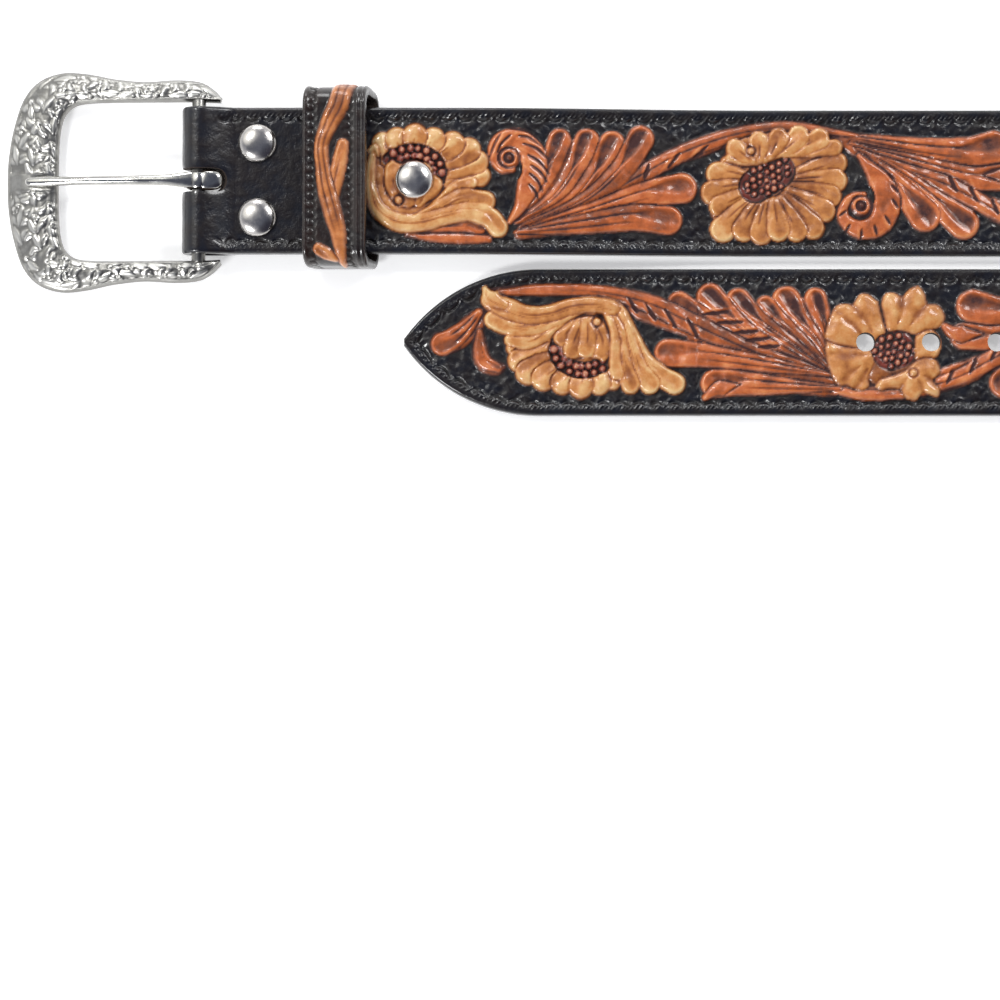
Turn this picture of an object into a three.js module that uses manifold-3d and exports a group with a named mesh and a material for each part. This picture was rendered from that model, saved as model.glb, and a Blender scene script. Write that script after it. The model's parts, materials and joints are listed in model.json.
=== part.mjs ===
// A carved western leather belt with a cast buckle, lying open on a surface with its face up.
// The two ends lie side by side, and the hidden middle turns on its edge in one plain loop.
// Millimetres, +Z up. The bar of the buckle runs along Y and the belt leaves it along +X.
import * as THREE from "three";
import { mergeVertices } from "three/addons/utils/BufferGeometryUtils.js";
import Module from "manifold-3d";

// Strap
const STRAP_WIDTH = 38.1;
const STRAP_LENGTH = 1114; // from the fold's outer edge to the tip
const LEATHER = 3.2; // carved ground, before the relief
const LEATHER_SKIVED = 2.2; // the end that folds round the bar
const FOLD_BACK = 66; // how far the folded end reaches under the strap
const TIP_LENGTH = 35;
const TIP_SHARES = [1, 0.8, 0.62, 0.46, 0.31, 0.18, 0.08, 0.02]; // its sections, as shares of its length
const TIP_BLUNT = 1.2;
const LEG_SPACING = 41.1; // between the centrelines of the two ends
const GAP = 0.3; // between pieces that touch on the real belt
const POINT_TOLERANCE = 1e-4; // points nearer than this are the same point

// Relief on the strap's face
const LEAF_HEIGHT = 0.8;
const FLOWER_HEIGHT = 1.0;
const SEED_HEIGHT = 1.3;
const BORDER_HEIGHT = 0.5;
const EMBED = 1.2; // how deep the relief is rooted in the leather
const BORDER_WIDTH = 3;
const LEAST_GROUND = 0.3; // half width of the ground that the borders leave at the tip
const PATTERN_START = 53.7; // middle of the first bell flower, along X
const UNIT_LENGTH = 252; // from one bell flower to the next
const UNITS = 4;

// Holes
const HOLE_RADIUS = 2.45;
const HOLE_COUNT = 7;
const HOLE_CURVE = 5;
const HOLE_SPACING = 17;
const FIRST_HOLE = 119.5; // from the tip
const SLOT_WIDTH = 6.2;
const SLOT_REACH = 6.7; // past the bar's middle, above and below
const CUT_FROM = -1; // cutters reach this far below the flesh side
const CUT_LENGTH = LEATHER + 4; // and pass right through the relief

// Buckle
const BAR_RADIUS = 1.8;
const BAR_LENGTH = 42.4;
const BAR_SIDES = 14;
const FOLD_RADIUS = BAR_RADIUS + GAP; // inner radius of the leather round the bar
const FRAME_DROP = 4; // the bowed frame comes down to the surface at its far end
const FRAME_REACH = 46;
const FRAME_THICKNESS = 3.6;
const RING_PLAY = 0.35; // between the bar and the prong's ring
const RING_INNER = BAR_RADIUS + RING_PLAY;
const RING_OUTER = 3.5;
const RING_WIDTH = 4.4;
const RING_SIDES = 18;
const PRONG_SIDES = 10;

// Keeper
const KEEPER_START = 27.1;
const KEEPER_LENGTH = 16.2;
const KEEPER_LEAN = 3.4; // its face leans this far back from its base, towards the buckle
const KEEPER_LEATHER = 2.0;
const KEEPER_WIDTH = 45.5;
const KEEPER_HEIGHT = 16.4;
const KEEPER_CORNER = 5;
const CORNER_STEPS = 4;
const KEEPER_MARGIN = 1; // plain edge beside the keeper's leaf
const KEEPER_RELIEF = 0.5;
const KEEPER_EMBED = 0.3;

// Snaps
const SNAP_RADIUS = 5;
const SNAP_DOME = 2.3;
const SNAP_RIM = 0.5; // upright edge of the cap
const SNAP_SIDES = 16;
const DOME_STEPS = 5;
const CAP_PLAY = 0.2; // between the cap and the leather
const POST_RADIUS = 1.5;
const POST_HOLE = 1.9;
const FLANGE_RADIUS = 4.2;
const FLANGE_THICKNESS = 0.5;
const FLANGE_RISE = 0.15; // the flange lies this deep in its pocket
const POCKET_FLOOR = 0.64; // share of the leather that a flange's pocket leaves
const SNAPS = [
  { name: "snap_upper", x: 15.4, y: 9.7, onRelief: false },
  { name: "snap_lower", x: 15.4, y: -9.7, onRelief: false },
  { name: "snap_flower", x: 55.9, y: 0, onRelief: true },
];

// Heights above the surface, worked out from the stack of leather
const FOLD_BACK_BOTTOM = KEEPER_LEATHER + GAP;
const FOLD_BACK_TOP = FOLD_BACK_BOTTOM + LEATHER_SKIVED;
const BAR_HEIGHT = FOLD_BACK_TOP + FOLD_RADIUS;
const STACKED = FOLD_BACK_TOP + GAP; // underside of the strap above its folded end
const FOLD_OUTER = FOLD_RADIUS + LEATHER_SKIVED;

const wasm = await Module();
wasm.setup();

const radians = THREE.MathUtils.degToRad;
const lerp = THREE.MathUtils.lerp;

// 0 before a, 1 after b, and smooth between them
function ease(s, a, b) {
  const t = THREE.MathUtils.clamp((s - a) / (b - a), 0, 1);
  return t * t * (3 - 2 * t);
}

// Solids and booleans

function solidFrom(geometry) {
  const bare = geometry.clone();
  bare.deleteAttribute("normal");
  bare.deleteAttribute("uv");
  const merged = mergeVertices(bare, POINT_TOLERANCE);
  return new wasm.Manifold(
    new wasm.Mesh({
      numProp: 3,
      vertProperties: merged.attributes.position.array,
      triVerts: new Uint32Array(merged.index.array),
    }),
  );
}

function geometryFrom(solid) {
  const mesh = solid.getMesh();
  const geometry = new THREE.BufferGeometry();
  const points = new Float32Array(mesh.numVert * 3);
  for (let i = 0; i < mesh.numVert; i++) {
    points.set(mesh.vertProperties.subarray(i * mesh.numProp, i * mesh.numProp + 3), i * 3);
  }
  geometry.setAttribute("position", new THREE.BufferAttribute(points, 3));
  geometry.setIndex(new THREE.BufferAttribute(new Uint32Array(mesh.triVerts), 1));
  return geometry;
}

// A flat shape made into a plate from height z upwards
function plate(shape, z, height, curveSegments = 8) {
  const geometry = new THREE.ExtrudeGeometry(shape, { depth: height, bevelEnabled: false, curveSegments });
  return solidFrom(geometry.translate(0, 0, z));
}

// A closed skin lofted through rings that have the same number of points
function loft(rings) {
  const around = rings[0].length;
  const points = rings.flat().flatMap((p) => [p.x, p.y, p.z]);
  const faces = [];
  for (let i = 0; i + 1 < rings.length; i++) {
    for (let j = 0; j < around; j++) {
      const a = i * around + j;
      const b = i * around + ((j + 1) % around);
      faces.push(a, b, b + around, a, b + around, a + around);
    }
  }
  const last = (rings.length - 1) * around;
  for (let j = 1; j + 1 < around; j++) {
    faces.push(0, j + 1, j, last, last + j, last + j + 1);
  }
  const geometry = new THREE.BufferGeometry();
  geometry.setAttribute("position", new THREE.Float32BufferAttribute(points, 3));
  geometry.setIndex(faces);
  return geometry;
}

function cylinderAlongY(radius, length, sides) {
  return new THREE.CylinderGeometry(radius, radius, length, sides);
}

// The strap's way, as frames along its flesh side. s is measured from the folded end.

const DIP = 10.5; // past the fold, the strap comes down onto its folded end over this length
const SLOPE = { from: 68, to: 150 }; // past the folded end it comes down to the surface, from the fold
const BUCKLE_LEG = 342.7; // flat stretch of the buckle end, from the fold
const TIP_LEG = 289; // flat stretch of the other end
const TWIST = 125; // the strap turns from flat to on edge over this length
const HEEL = 11.7; // plain stretch round the slot, from the fold
const PATH_EXCESS = 1; // what the dip and slope add to the strap's length
const FOLD_START = FOLD_BACK; // here the leather starts round the bar
const FOLD_END = FOLD_START + Math.PI * FOLD_RADIUS;
const DIP_END = FOLD_END + DIP;
const HEEL_END = FOLD_END + HEEL;
const LEG_END = FOLD_END + BUCKLE_LEG;
const STRAP_END = FOLD_END + STRAP_LENGTH - FOLD_OUTER + PATH_EXCESS;
const TIP_LEG_START = STRAP_END - TIP_LEG;
const HALF_LOOP = (TIP_LEG_START - LEG_END) / 2;
const SHOULDER = STRAP_END - TIP_LENGTH; // the tip begins to narrow here
const STEP = 0.25;

// How far apart the strap's sections lie on each stretch
const PITCH = { fold: 1, dip: 1.7, slope: 8.2, twist: 12.5, turn: 11.5 };
const SECTION_CLEARANCE = 0.5; // no section lies nearer than this to the end of a swept stretch

// How far the strap has rolled from flat to standing on its edge, with its face outwards
function rollAt(s) {
  const along = Math.min(s - LEG_END, TIP_LEG_START - s);
  return (Math.PI / 2) * ease(along, 0, TWIST);
}

function heightAt(s) {
  const dip = (BAR_HEIGHT + FOLD_RADIUS - STACKED) * (1 - ease(s, FOLD_END, DIP_END));
  const slope = STACKED * (1 - ease(s - FOLD_END, SLOPE.from, SLOPE.to));
  return dip + slope + (STRAP_WIDTH / 2) * Math.sin(rollAt(s));
}

// The loop first swings outwards and then turns right round. It closes when it ends on the centreline.
const SWING = { from: 40, to: 110 };
const TURN = { from: 110, full: 135 };
const MOST_SWING = 0.05; // radians per millimetre
const CLOSING_TRIES = 24;

function turnRate(along, swing) {
  const t = THREE.MathUtils.clamp((along - SWING.from) / (SWING.to - SWING.from), 0, 1);
  const swung = (swing * (SWING.to - SWING.from)) / 2;
  const turn = (Math.PI / 2 + swung) / (HALF_LOOP - (TURN.from + TURN.full) / 2);
  const ramp = THREE.MathUtils.clamp((along - TURN.from) / (TURN.full - TURN.from), 0, 1);
  return swing * Math.sin(Math.PI * t) ** 2 - turn * ramp;
}

// The leather's stretch over the bar and the whole way after it
function walk(swing) {
  const frames = [];
  const at = new THREE.Vector3(0, LEG_SPACING / 2, 0);
  let heading = 0;
  for (let s = FOLD_END; s <= STRAP_END + STEP; s += STEP) {
    at.z = heightAt(s);
    const climb = (heightAt(s + STEP / 2) - heightAt(s - STEP / 2)) / STEP;
    const flat = Math.sqrt(1 - climb * climb);
    const along = new THREE.Vector3(Math.cos(heading) * flat, Math.sin(heading) * flat, climb).normalize();
    const left = new THREE.Vector3(-Math.sin(heading), Math.cos(heading), 0);
    const up = new THREE.Vector3().crossVectors(along, left).normalize();
    const roll = rollAt(s);
    const out = up.multiplyScalar(Math.cos(roll)).addScaledVector(left, Math.sin(roll));
    const across = new THREE.Vector3().crossVectors(out, along);
    frames.push({ s, at: at.clone(), out, across });
    at.addScaledVector(along, STEP);
    if (s > LEG_END && s < TIP_LEG_START) {
      heading += turnRate(Math.min(s - LEG_END, TIP_LEG_START - s), swing) * STEP;
    }
  }
  return frames;
}

function loopMiss(swing) {
  const middle = walk(swing).find((frame) => frame.s >= LEG_END + HALF_LOOP);
  return middle.at.y;
}

function closeLoop() {
  let low = 0;
  let high = MOST_SWING;
  for (let i = 0; i < CLOSING_TRIES; i++) {
    const middle = (low + high) / 2;
    if (loopMiss(middle) > 0) high = middle;
    else low = middle;
  }
  return walk((low + high) / 2);
}

const way = closeLoop();

function frameAt(s) {
  if (s < FOLD_END) {
    const pitch = Math.PI * THREE.MathUtils.clamp((FOLD_END - s) / (FOLD_END - FOLD_START), 0, 1);
    const out = new THREE.Vector3(-Math.sin(pitch), 0, Math.cos(pitch));
    const at = new THREE.Vector3(0, LEG_SPACING / 2, BAR_HEIGHT).addScaledVector(out, FOLD_RADIUS);
    at.x += Math.max(0, FOLD_START - s);
    return { at, out, across: new THREE.Vector3(0, 1, 0) };
  }
  const place = (s - FOLD_END) / STEP;
  const i = Math.min(Math.floor(place), way.length - 2);
  const t = Math.min(1, place - i);
  return {
    at: way[i].at.clone().lerp(way[i + 1].at, t),
    out: way[i].out.clone().lerp(way[i + 1].out, t).normalize(),
    across: way[i].across.clone().lerp(way[i + 1].across, t).normalize(),
  };
}

// The skived leather thickens between the fold and the first snaps
function leatherAt(s) {
  return lerp(LEATHER_SKIVED, LEATHER, ease(s, FOLD_END + 1, DIP_END - 1));
}

// The place along the strap that lies at x on the buckle end
function stationAtX(x) {
  return way.find((frame) => frame.at.x >= x).s;
}

// Where a flat solid is cut before it is bent, so that it follows the strap's way
function stations() {
  const cuts = [];
  const spread = (from, to, pitch) => {
    const count = Math.round((to - from) / pitch);
    for (let i = 0; i <= count; i++) cuts.push(lerp(from, to, i / count));
  };
  spread(FOLD_START, FOLD_END, PITCH.fold);
  spread(FOLD_END + PITCH.dip, DIP_END, PITCH.dip);
  spread(FOLD_END + SLOPE.from, FOLD_END + SLOPE.to, PITCH.slope);
  spread(LEG_END, LEG_END + TWIST, PITCH.twist);
  spread(LEG_END + TWIST + PITCH.turn, TIP_LEG_START - TWIST - PITCH.turn, PITCH.turn);
  spread(TIP_LEG_START - TWIST, TIP_LEG_START, PITCH.twist);
  for (const share of TIP_SHARES) cuts.push(STRAP_END - TIP_LENGTH * share);
  return cuts;
}

function trianglesOf(geometry) {
  const p = geometry.toNonIndexed().attributes.position;
  const triangles = [];
  for (let i = 0; i < p.count; i += 3) {
    triangles.push([0, 1, 2].map((k) => new THREE.Vector3().fromBufferAttribute(p, i + k)));
  }
  return triangles;
}

// Cuts flat convex faces at each place along X, so that neighbours still share their edges
function sliceAt(faces, cuts) {
  for (const cut of cuts) {
    const next = [];
    for (const face of faces) {
      const sides = face.map((v) => (Math.abs(v.x - cut) < POINT_TOLERANCE ? 0 : Math.sign(v.x - cut)));
      if (sides.includes(1) && sides.includes(-1)) {
        next.push(clipTo(face, sides, cut, 1), clipTo(face, sides, cut, -1));
      } else {
        next.push(face);
      }
    }
    faces = next;
  }
  return faces;
}

function clipTo(face, sides, cut, side) {
  const kept = [];
  face.forEach((a, k) => {
    const next = (k + 1) % face.length;
    const b = face[next];
    if (sides[k] * side >= 0) kept.push(a);
    if (sides[k] * sides[next] < 0) {
      const [low, high] = a.x < b.x ? [a, b] : [b, a];
      kept.push(low.clone().lerp(high, (cut - low.x) / (high.x - low.x)).setX(cut));
    }
  });
  return kept;
}

function fan(face) {
  const triangles = [];
  for (let k = 1; k + 1 < face.length; k++) triangles.push(face[0], face[k], face[k + 1]);
  return triangles;
}

// Bends a flat solid, X along the strap, Y across it and Z through it, onto the strap's way
function bend(solid) {
  const faces = sliceAt(trianglesOf(geometryFrom(solid)), stations());
  const points = [];
  for (const v of faces.flatMap(fan)) {
    points.push(...onWay(v.x, v.y, v.z).toArray());
  }
  const geometry = new THREE.BufferGeometry();
  geometry.setAttribute("position", new THREE.Float32BufferAttribute(points, 3));
  return solidFrom(geometry);
}

// The two sides run in to the tip on arcs
function halfWidthAt(s) {
  const arc = (TIP_LENGTH ** 2 + (STRAP_WIDTH / 2) ** 2) / STRAP_WIDTH;
  const along = Math.max(0, s - SHOULDER);
  return Math.max(TIP_BLUNT, Math.sqrt(arc ** 2 - along ** 2) - arc + STRAP_WIDTH / 2);
}

function prongSlot() {
  const half = SLOT_WIDTH / 2;
  const middle = (FOLD_START + FOLD_END) / 2;
  const reach = SLOT_REACH + (FOLD_END - FOLD_START) / 2 - half;
  const slot = new THREE.Shape();
  slot.absarc(middle + reach, 0, half, -Math.PI / 2, Math.PI / 2, false);
  slot.absarc(middle - reach, 0, half, Math.PI / 2, Math.PI * 1.5, false);
  return slot;
}

// The carved pattern, one unit from bell flower to bell flower. Every second unit is turned over.

// Leaves with their stems and curls, as outlines from the root round the lobes' tips
const LEAVES = {
  firstLeaf: [
    [28, -13], [36, 3], [37, 11], [39, 13.5], [43.5, 11], [46, 13.8], [50.5, 11.3], [53, 13], [56, 11],
    [60, 15], [64, 13], [62.5, 5], [75, 12], [90, 15], [102, 14], [76, 6.5], [62.5, 2], [71, 2],
    [75.2, -2.5], [72, -5], [66, -5.5], [71, -8.5], [70.5, -14.3], [56, -11.6], [37, -14.3], [29, -15.3],
  ],
  secondLeaf: [
    [112, 14], [130, 11], [145, 10.5], [154.5, 14], [157, 11], [153, 5.2], [159, 5.2], [161, 1],
    [156, -2], [149, -2.2], [163, -6], [189, -10], [189, -13.5], [171, -15], [152, -9.8], [146, -6.5],
    [148.5, -11], [144, -14.9], [141, -13], [136, -4], [136.5, -13.5], [130, -9], [127, 0], [112, 10],
  ],
  thirdLeaf: [
    [188, -9], [192.5, 0], [191.5, 12], [193, 14.2], [196.5, 12.5], [201, 14.3], [204.5, 11.3],
    [208.5, 11], [214, 14], [216.5, 12.8], [220, 15.3], [224.5, 12.3], [228, 13.5], [230.5, 9.3],
    [246, 13], [264, 14.3], [278, 13], [246, 9.5], [240, 4.5], [227, 1.5], [233.5, -0.3], [235.5, -6],
    [222, -5.9], [208, -7.6], [220, -7.2], [223.8, -10.5], [221.5, -14.9], [205, -13], [188, -13.8],
  ],
  firstCurl: [
    [20.5, 6], [22.5, 11.5], [28, 14.2], [34, 12], [37, 5.5], [36, -2], [30, -10], [27, -7], [28.3, 1.8],
    [23, 2.2],
  ],
  secondCurl: [
    [116, 7.5], [124, 1.5], [127, -5], [125.5, -11], [118, -15.6], [112, -13], [109.3, -7.5],
    [112, -3.2], [117, -2.5], [114, 5.5],
  ],
};

// Open flowers: the petals' tips, as a direction in degrees and a reach from the flower's middle
const SUNFLOWER = {
  x: 94.5,
  y: 0,
  seeds: { x: 93.5, y: 1.5, length: 7.2, width: 4.2, turn: 35 },
  petals: [
    { at: 8, reach: 19.2 }, { at: 28, reach: 19.4 }, { at: 48, reach: 17.4 }, { at: 74, reach: 15.2 },
    { at: 104, reach: 14.2 }, { at: 140, reach: 14.8 }, { at: 167, reach: 16.5 }, { at: 192, reach: 19 },
    { at: 221, reach: 20 }, { at: 246, reach: 16.4 }, { at: 268, reach: 15.6 }, { at: 291, reach: 15.8 },
    { at: 311, reach: 17.8 }, { at: 335, reach: 17.6 },
  ],
};

const ROSE = {
  x: 173.5,
  y: -0.5,
  seeds: { x: 174, y: -0.5, length: 5.6, width: 4.4, turn: -15 },
  petals: [
    { at: 14, reach: 18.4 }, { at: 42, reach: 18.2 }, { at: 68, reach: 15.4 }, { at: 92, reach: 13.6 },
    { at: 117, reach: 16 }, { at: 149, reach: 16.4 }, { at: 176, reach: 11.6 }, { at: 202, reach: 13.5 },
    { at: 231, reach: 15.6 }, { at: 260, reach: 13.4 }, { at: 290, reach: 13 }, { at: 320, reach: 17 },
    { at: 347, reach: 18.4 },
  ],
};

// The bell flower's outline about its own middle, from its rolled rim's left end round the top
const BELL = [
  [-24.5, 9], [-18, 8], [-13, 0], [-11, -6], [-6, -12], [0, -12], [15, -9.5], [25.5, -14.5], [28.5, -11],
  [25, -4], [20, -1.5], [21.5, 5], [19, 10.5], [9, 14], [3, 16], [-4, 13.5], [-6, 10], [-12, 14],
  [-21, 14.5],
];

// A leaf and a curl between the last flower and the tip
const TIP_LEAVES = {
  leaf: [
    [28, -9], [27, -4], [29, -0.5], [33, 2.5], [36.5, 4.2], [40, 3.5], [41.3, 0.5], [40.5, -2.8], [36, -3],
    [32, -6.5],
  ],
  curl: [[27, -2.5], [26, 1], [25, 4.5], [21.5, 6], [23.5, 8.6], [27.5, 8], [30.3, 4.5], [30, 0.5]],
};

// One lobe's outline, up one side, round its end and down the other. It follows its way's points, with
// a half width for its root, middle and end.
const LOBE_STEPS = 5;
const LOBE_END_STEPS = 4;

function lobe(row) {
  const line = new THREE.SplineCurve(row.way.map(([x, y]) => new THREE.Vector2(x, y)));
  const sides = [[], []];
  for (let i = 0; i <= LOBE_STEPS; i++) {
    const t = i / LOBE_STEPS;
    const at = line.getPoint(t);
    const along = line.getTangent(t);
    const half = t < 0.5 ? lerp(row.root, row.middle, t * 2) : lerp(row.middle, row.end, t * 2 - 1);
    sides[0].push(new THREE.Vector2(at.x + along.y * half, at.y - along.x * half));
    sides[1].unshift(new THREE.Vector2(at.x - along.y * half, at.y + along.x * half));
  }
  const end = line.getPoint(1);
  const heading = line.getTangent(1).angle();
  const round = [];
  for (let i = 1; i < LOBE_END_STEPS; i++) {
    const turn = heading - Math.PI / 2 + (Math.PI * i) / LOBE_END_STEPS;
    round.push(new THREE.Vector2(end.x + Math.cos(turn) * row.end, end.y + Math.sin(turn) * row.end));
  }
  return [...sides[0], ...round, ...sides[1]];
}

const NOTCH_SHARE = 0.9; // the outline's reach between two petals, as a share of the shorter one's

function flowerOutline(flower) {
  const points = [];
  flower.petals.forEach((petal, i) => {
    const next = flower.petals[(i + 1) % flower.petals.length];
    const between = next.at > petal.at ? (petal.at + next.at) / 2 : (petal.at + next.at + 360) / 2;
    const notch = Math.min(petal.reach, next.reach) * NOTCH_SHARE;
    for (const [angle, reach] of [[petal.at, petal.reach], [between, notch]]) {
      const turn = radians(angle);
      points.push(new THREE.Vector2(flower.x + Math.cos(turn) * reach, flower.y + Math.sin(turn) * reach));
    }
  });
  return points;
}

// Seeds stand a little proud of the petals
const SEED_SIDES = 8;

function seedOutline({ x, y, length, width, turn }) {
  const points = [];
  for (let i = 0; i < SEED_SIDES; i++) {
    const at = (Math.PI * 2 * i) / SEED_SIDES;
    const p = new THREE.Vector2(Math.cos(at) * length, Math.sin(at) * width);
    points.push(p.rotateAround(new THREE.Vector2(), radians(turn)).add(new THREE.Vector2(x, y)));
  }
  return points;
}

// Puts a drawn outline on the strap, turned over where flip is -1, and raises it
function raised(outline, origin, flip, height) {
  const points = outline.map((p) => new THREE.Vector2(origin + p.x, p.y * flip));
  return plate(new THREE.Shape(points), LEATHER - EMBED, height + EMBED);
}

function drawn(rows) {
  return rows.map(([x, y]) => new THREE.Vector2(x, y));
}

function patternUnit(origin, flip) {
  const made = Object.values(LEAVES).map((outline) => raised(drawn(outline), origin, flip, LEAF_HEIGHT));
  for (const flower of [SUNFLOWER, ROSE]) {
    made.push(raised(flowerOutline(flower), origin, flip, FLOWER_HEIGHT));
    made.push(raised(seedOutline(flower.seeds), origin, flip, SEED_HEIGHT));
  }
  made.push(raised(drawn(BELL), origin, flip, FLOWER_HEIGHT));
  return wasm.Manifold.union(made);
}

function carving(start) {
  const made = [];
  for (let unit = 0; unit < UNITS; unit++) {
    made.push(patternUnit(start + unit * UNIT_LENGTH, unit % 2 ? -1 : 1));
  }
  const last = start + UNITS * UNIT_LENGTH;
  const ending = Object.values(TIP_LEAVES).map((outline) => raised(drawn(outline), last, 1, LEAF_HEIGHT));
  ending.push(raised(drawn(BELL), last, 1, FLOWER_HEIGHT));
  made.push(wasm.Manifold.union(ending));
  return made;
}

function roundCutter(s, y, radius, from = CUT_FROM) {
  const shape = new THREE.Shape();
  shape.absarc(s, y, radius, 0, Math.PI * 2);
  return plate(shape, from, CUT_LENGTH, HOLE_CURVE);
}

function holeCutters() {
  const cutters = [plate(prongSlot(), CUT_FROM, CUT_LENGTH, HOLE_CURVE)];
  for (let i = 0; i < HOLE_COUNT; i++) {
    cutters.push(roundCutter(STRAP_END - FIRST_HOLE - i * HOLE_SPACING, 0, HOLE_RADIUS));
  }
  for (const snap of SNAPS) cutters.push(roundCutter(stationAtX(snap.x), snap.y, POST_HOLE));
  return cutters;
}

// Each post passes the folded end too, where its flange lies in a shallow pocket
function foldBackCutters() {
  return SNAPS.flatMap(({ x, y }) => [
    roundCutter(FOLD_START - x, y, POST_HOLE),
    roundCutter(FOLD_START - x, y, FLANGE_RADIUS + GAP, LEATHER * POCKET_FLOOR),
  ]);
}

// The strap's section at s, as points across it and up from its flesh side
function plainSection(s) {
  const half = halfWidthAt(s);
  return [[-half, 0], [half, 0], [half, LEATHER], [0, LEATHER], [-half, LEATHER]];
}

function borderedSection(s) {
  const half = halfWidthAt(s);
  const inner = Math.max(LEAST_GROUND, half - BORDER_WIDTH);
  const top = LEATHER + BORDER_HEIGHT;
  return [
    [-half, 0], [0, 0], [half, 0], [half, top], [inner, top], [inner, LEATHER], [0, LEATHER],
    [-inner, LEATHER], [-inner, top], [-half, top],
  ];
}

function onWay(s, y, z) {
  const { at, out, across } = frameAt(s);
  return at.addScaledVector(across, y).addScaledVector(out, (z * leatherAt(s)) / LEATHER);
}

function sweep(section, from, to) {
  const between = stations().filter((s) => s > from + SECTION_CLEARANCE && s < to - SECTION_CLEARANCE);
  const places = [from, ...between, to];
  return solidFrom(loft(places.map((s) => section(s).map(([y, z]) => onWay(s, y, z)))));
}

function strapGeometry() {
  const slabs = [sweep(plainSection, 0, HEEL_END), sweep(borderedSection, HEEL_END, STRAP_END)];
  const carved = wasm.Manifold.union([...slabs, ...carving(stationAtX(PATTERN_START)).map(bend)]);
  const cutters = [...holeCutters(), ...foldBackCutters()].map(bend);
  const pieces = wasm.Manifold.difference([carved, ...cutters]).decompose();
  return geometryFrom(pieces.sort((a, b) => b.volume() - a.volume())[0]);
}

// Buckle frame: matching points on its outer and inner edge, from the upper arm's end to the far end
const FRAME_EDGE = [
  { outer: [6.0, 21.7], inner: [5.6, 20.5] },
  { outer: [3.4, 24.2], inner: [3.0, 20.6] },
  { outer: [0, 25.9], inner: [0, 20.7] },
  { outer: [-6, 26.4], inner: [-6, 20.7] },
  { outer: [-14, 26.0], inner: [-14, 20.7] },
  { outer: [-22, 26.8], inner: [-22, 20.7] },
  { outer: [-29, 28.2], inner: [-27.5, 20.6] },
  { outer: [-35.6, 28.6], inner: [-32, 19.9] },
  { outer: [-41.6, 26.6], inner: [-34.7, 17.6] },
  { outer: [-45.8, 22], inner: [-35.9, 14] },
  { outer: [-48.5, 14], inner: [-36.4, 9] },
  { outer: [-49.8, 6], inner: [-36.5, 4] },
  { outer: [-50, 0], inner: [-36.5, 0] },
];

// The frame's cross-section: share of the way from outer to inner edge, and height over its middle
const FRAME_SECTION = [
  { across: 1, up: -0.5 },
  { across: 1, up: 0.22 },
  { across: 0.65, up: 0.5 },
  { across: 0.3, up: 0.38 },
  { across: 0, up: -0.1 },
  { across: 0, up: -0.5 },
];

function frameHeight(x) {
  return BAR_HEIGHT - FRAME_DROP * (Math.min(0, x) / FRAME_REACH) ** 2;
}

function frameRing(outer, inner, side) {
  return FRAME_SECTION.map(({ across, up }) => {
    const x = lerp(outer[0], inner[0], across);
    const y = lerp(outer[1], inner[1], across) * side;
    return new THREE.Vector3(x, y, frameHeight(x) + up * FRAME_THICKNESS);
  });
}

// The prong's way over the frame: place, height and half sizes of its section
const PRONG_WAY = [
  { x: -1.6, z: 9.3, wide: 2.2, thick: 0.8 },
  { x: -4.6, z: 9.2, wide: 1.9, thick: 1.0 },
  { x: -9, z: 9.05, wide: 1.45, thick: 1.15 },
  { x: -20, z: 8.35, wide: 1.25, thick: 1.15 },
  { x: -33, z: 7.0, wide: 1.15, thick: 1.05 },
  { x: -40, z: 6.0, wide: 1.35, thick: 0.9 },
  { x: -44.5, z: 5.25, wide: 0.8, thick: 0.6 },
];

function prongRings(grow) {
  return PRONG_WAY.map(({ x, z, wide, thick }) => {
    const ring = [];
    for (let i = 0; i < PRONG_SIDES; i++) {
      const turn = (-Math.PI * 2 * i) / PRONG_SIDES;
      const y = Math.cos(turn) * (wide + grow);
      ring.push(new THREE.Vector3(x, y, z + Math.sin(turn) * (thick + grow)));
    }
    return ring;
  });
}

function buckleFrameGeometry() {
  const upper = FRAME_EDGE.map(({ outer, inner }) => frameRing(outer, inner, 1));
  const lower = FRAME_EDGE.slice(0, -1).map(({ outer, inner }) => frameRing(outer, inner, -1));
  const rim = solidFrom(loft([...upper, ...lower.reverse()]));
  const bar = cylinderAlongY(BAR_RADIUS, BAR_LENGTH, BAR_SIDES).translate(0, 0, BAR_HEIGHT);
  const rest = solidFrom(loft(prongRings(GAP)));
  return geometryFrom(rim.subtract(rest).add(solidFrom(bar)));
}

function prongGeometry() {
  const ring = cylinderAlongY(RING_OUTER, RING_WIDTH, RING_SIDES).translate(0, 0, BAR_HEIGHT);
  const bore = cylinderAlongY(RING_INNER, RING_WIDTH * 2, RING_SIDES).translate(0, 0, BAR_HEIGHT);
  const shank = solidFrom(loft(prongRings(0)));
  return geometryFrom(solidFrom(ring).add(shank).subtract(solidFrom(bore)));
}

// Keeper: a closed band round the strap and its folded end

function roundedBox(halfWidth, bottom, top, corner) {
  const shape = new THREE.Shape();
  shape.moveTo(-halfWidth + corner, bottom);
  shape.absarc(halfWidth - corner, bottom + corner, corner, -Math.PI / 2, 0);
  shape.absarc(halfWidth - corner, top - corner, corner, 0, Math.PI / 2);
  shape.absarc(-halfWidth + corner, top - corner, corner, Math.PI / 2, Math.PI);
  shape.absarc(-halfWidth + corner, bottom + corner, corner, Math.PI, Math.PI * 1.5);
  return shape;
}

// The leaf carved on the keeper, X along the belt and Y across it
const KEEPER_LEAF = [
  { way: [[10, 20], [4.8, 6], [6, -4], [9.4, -18]], root: 2.7, middle: 2.3, end: 1.1 },
  { way: [[7.6, -4], [9.4, 2], [10.6, 8]], root: 1.4, middle: 1.8, end: 1.4 },
];

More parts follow.
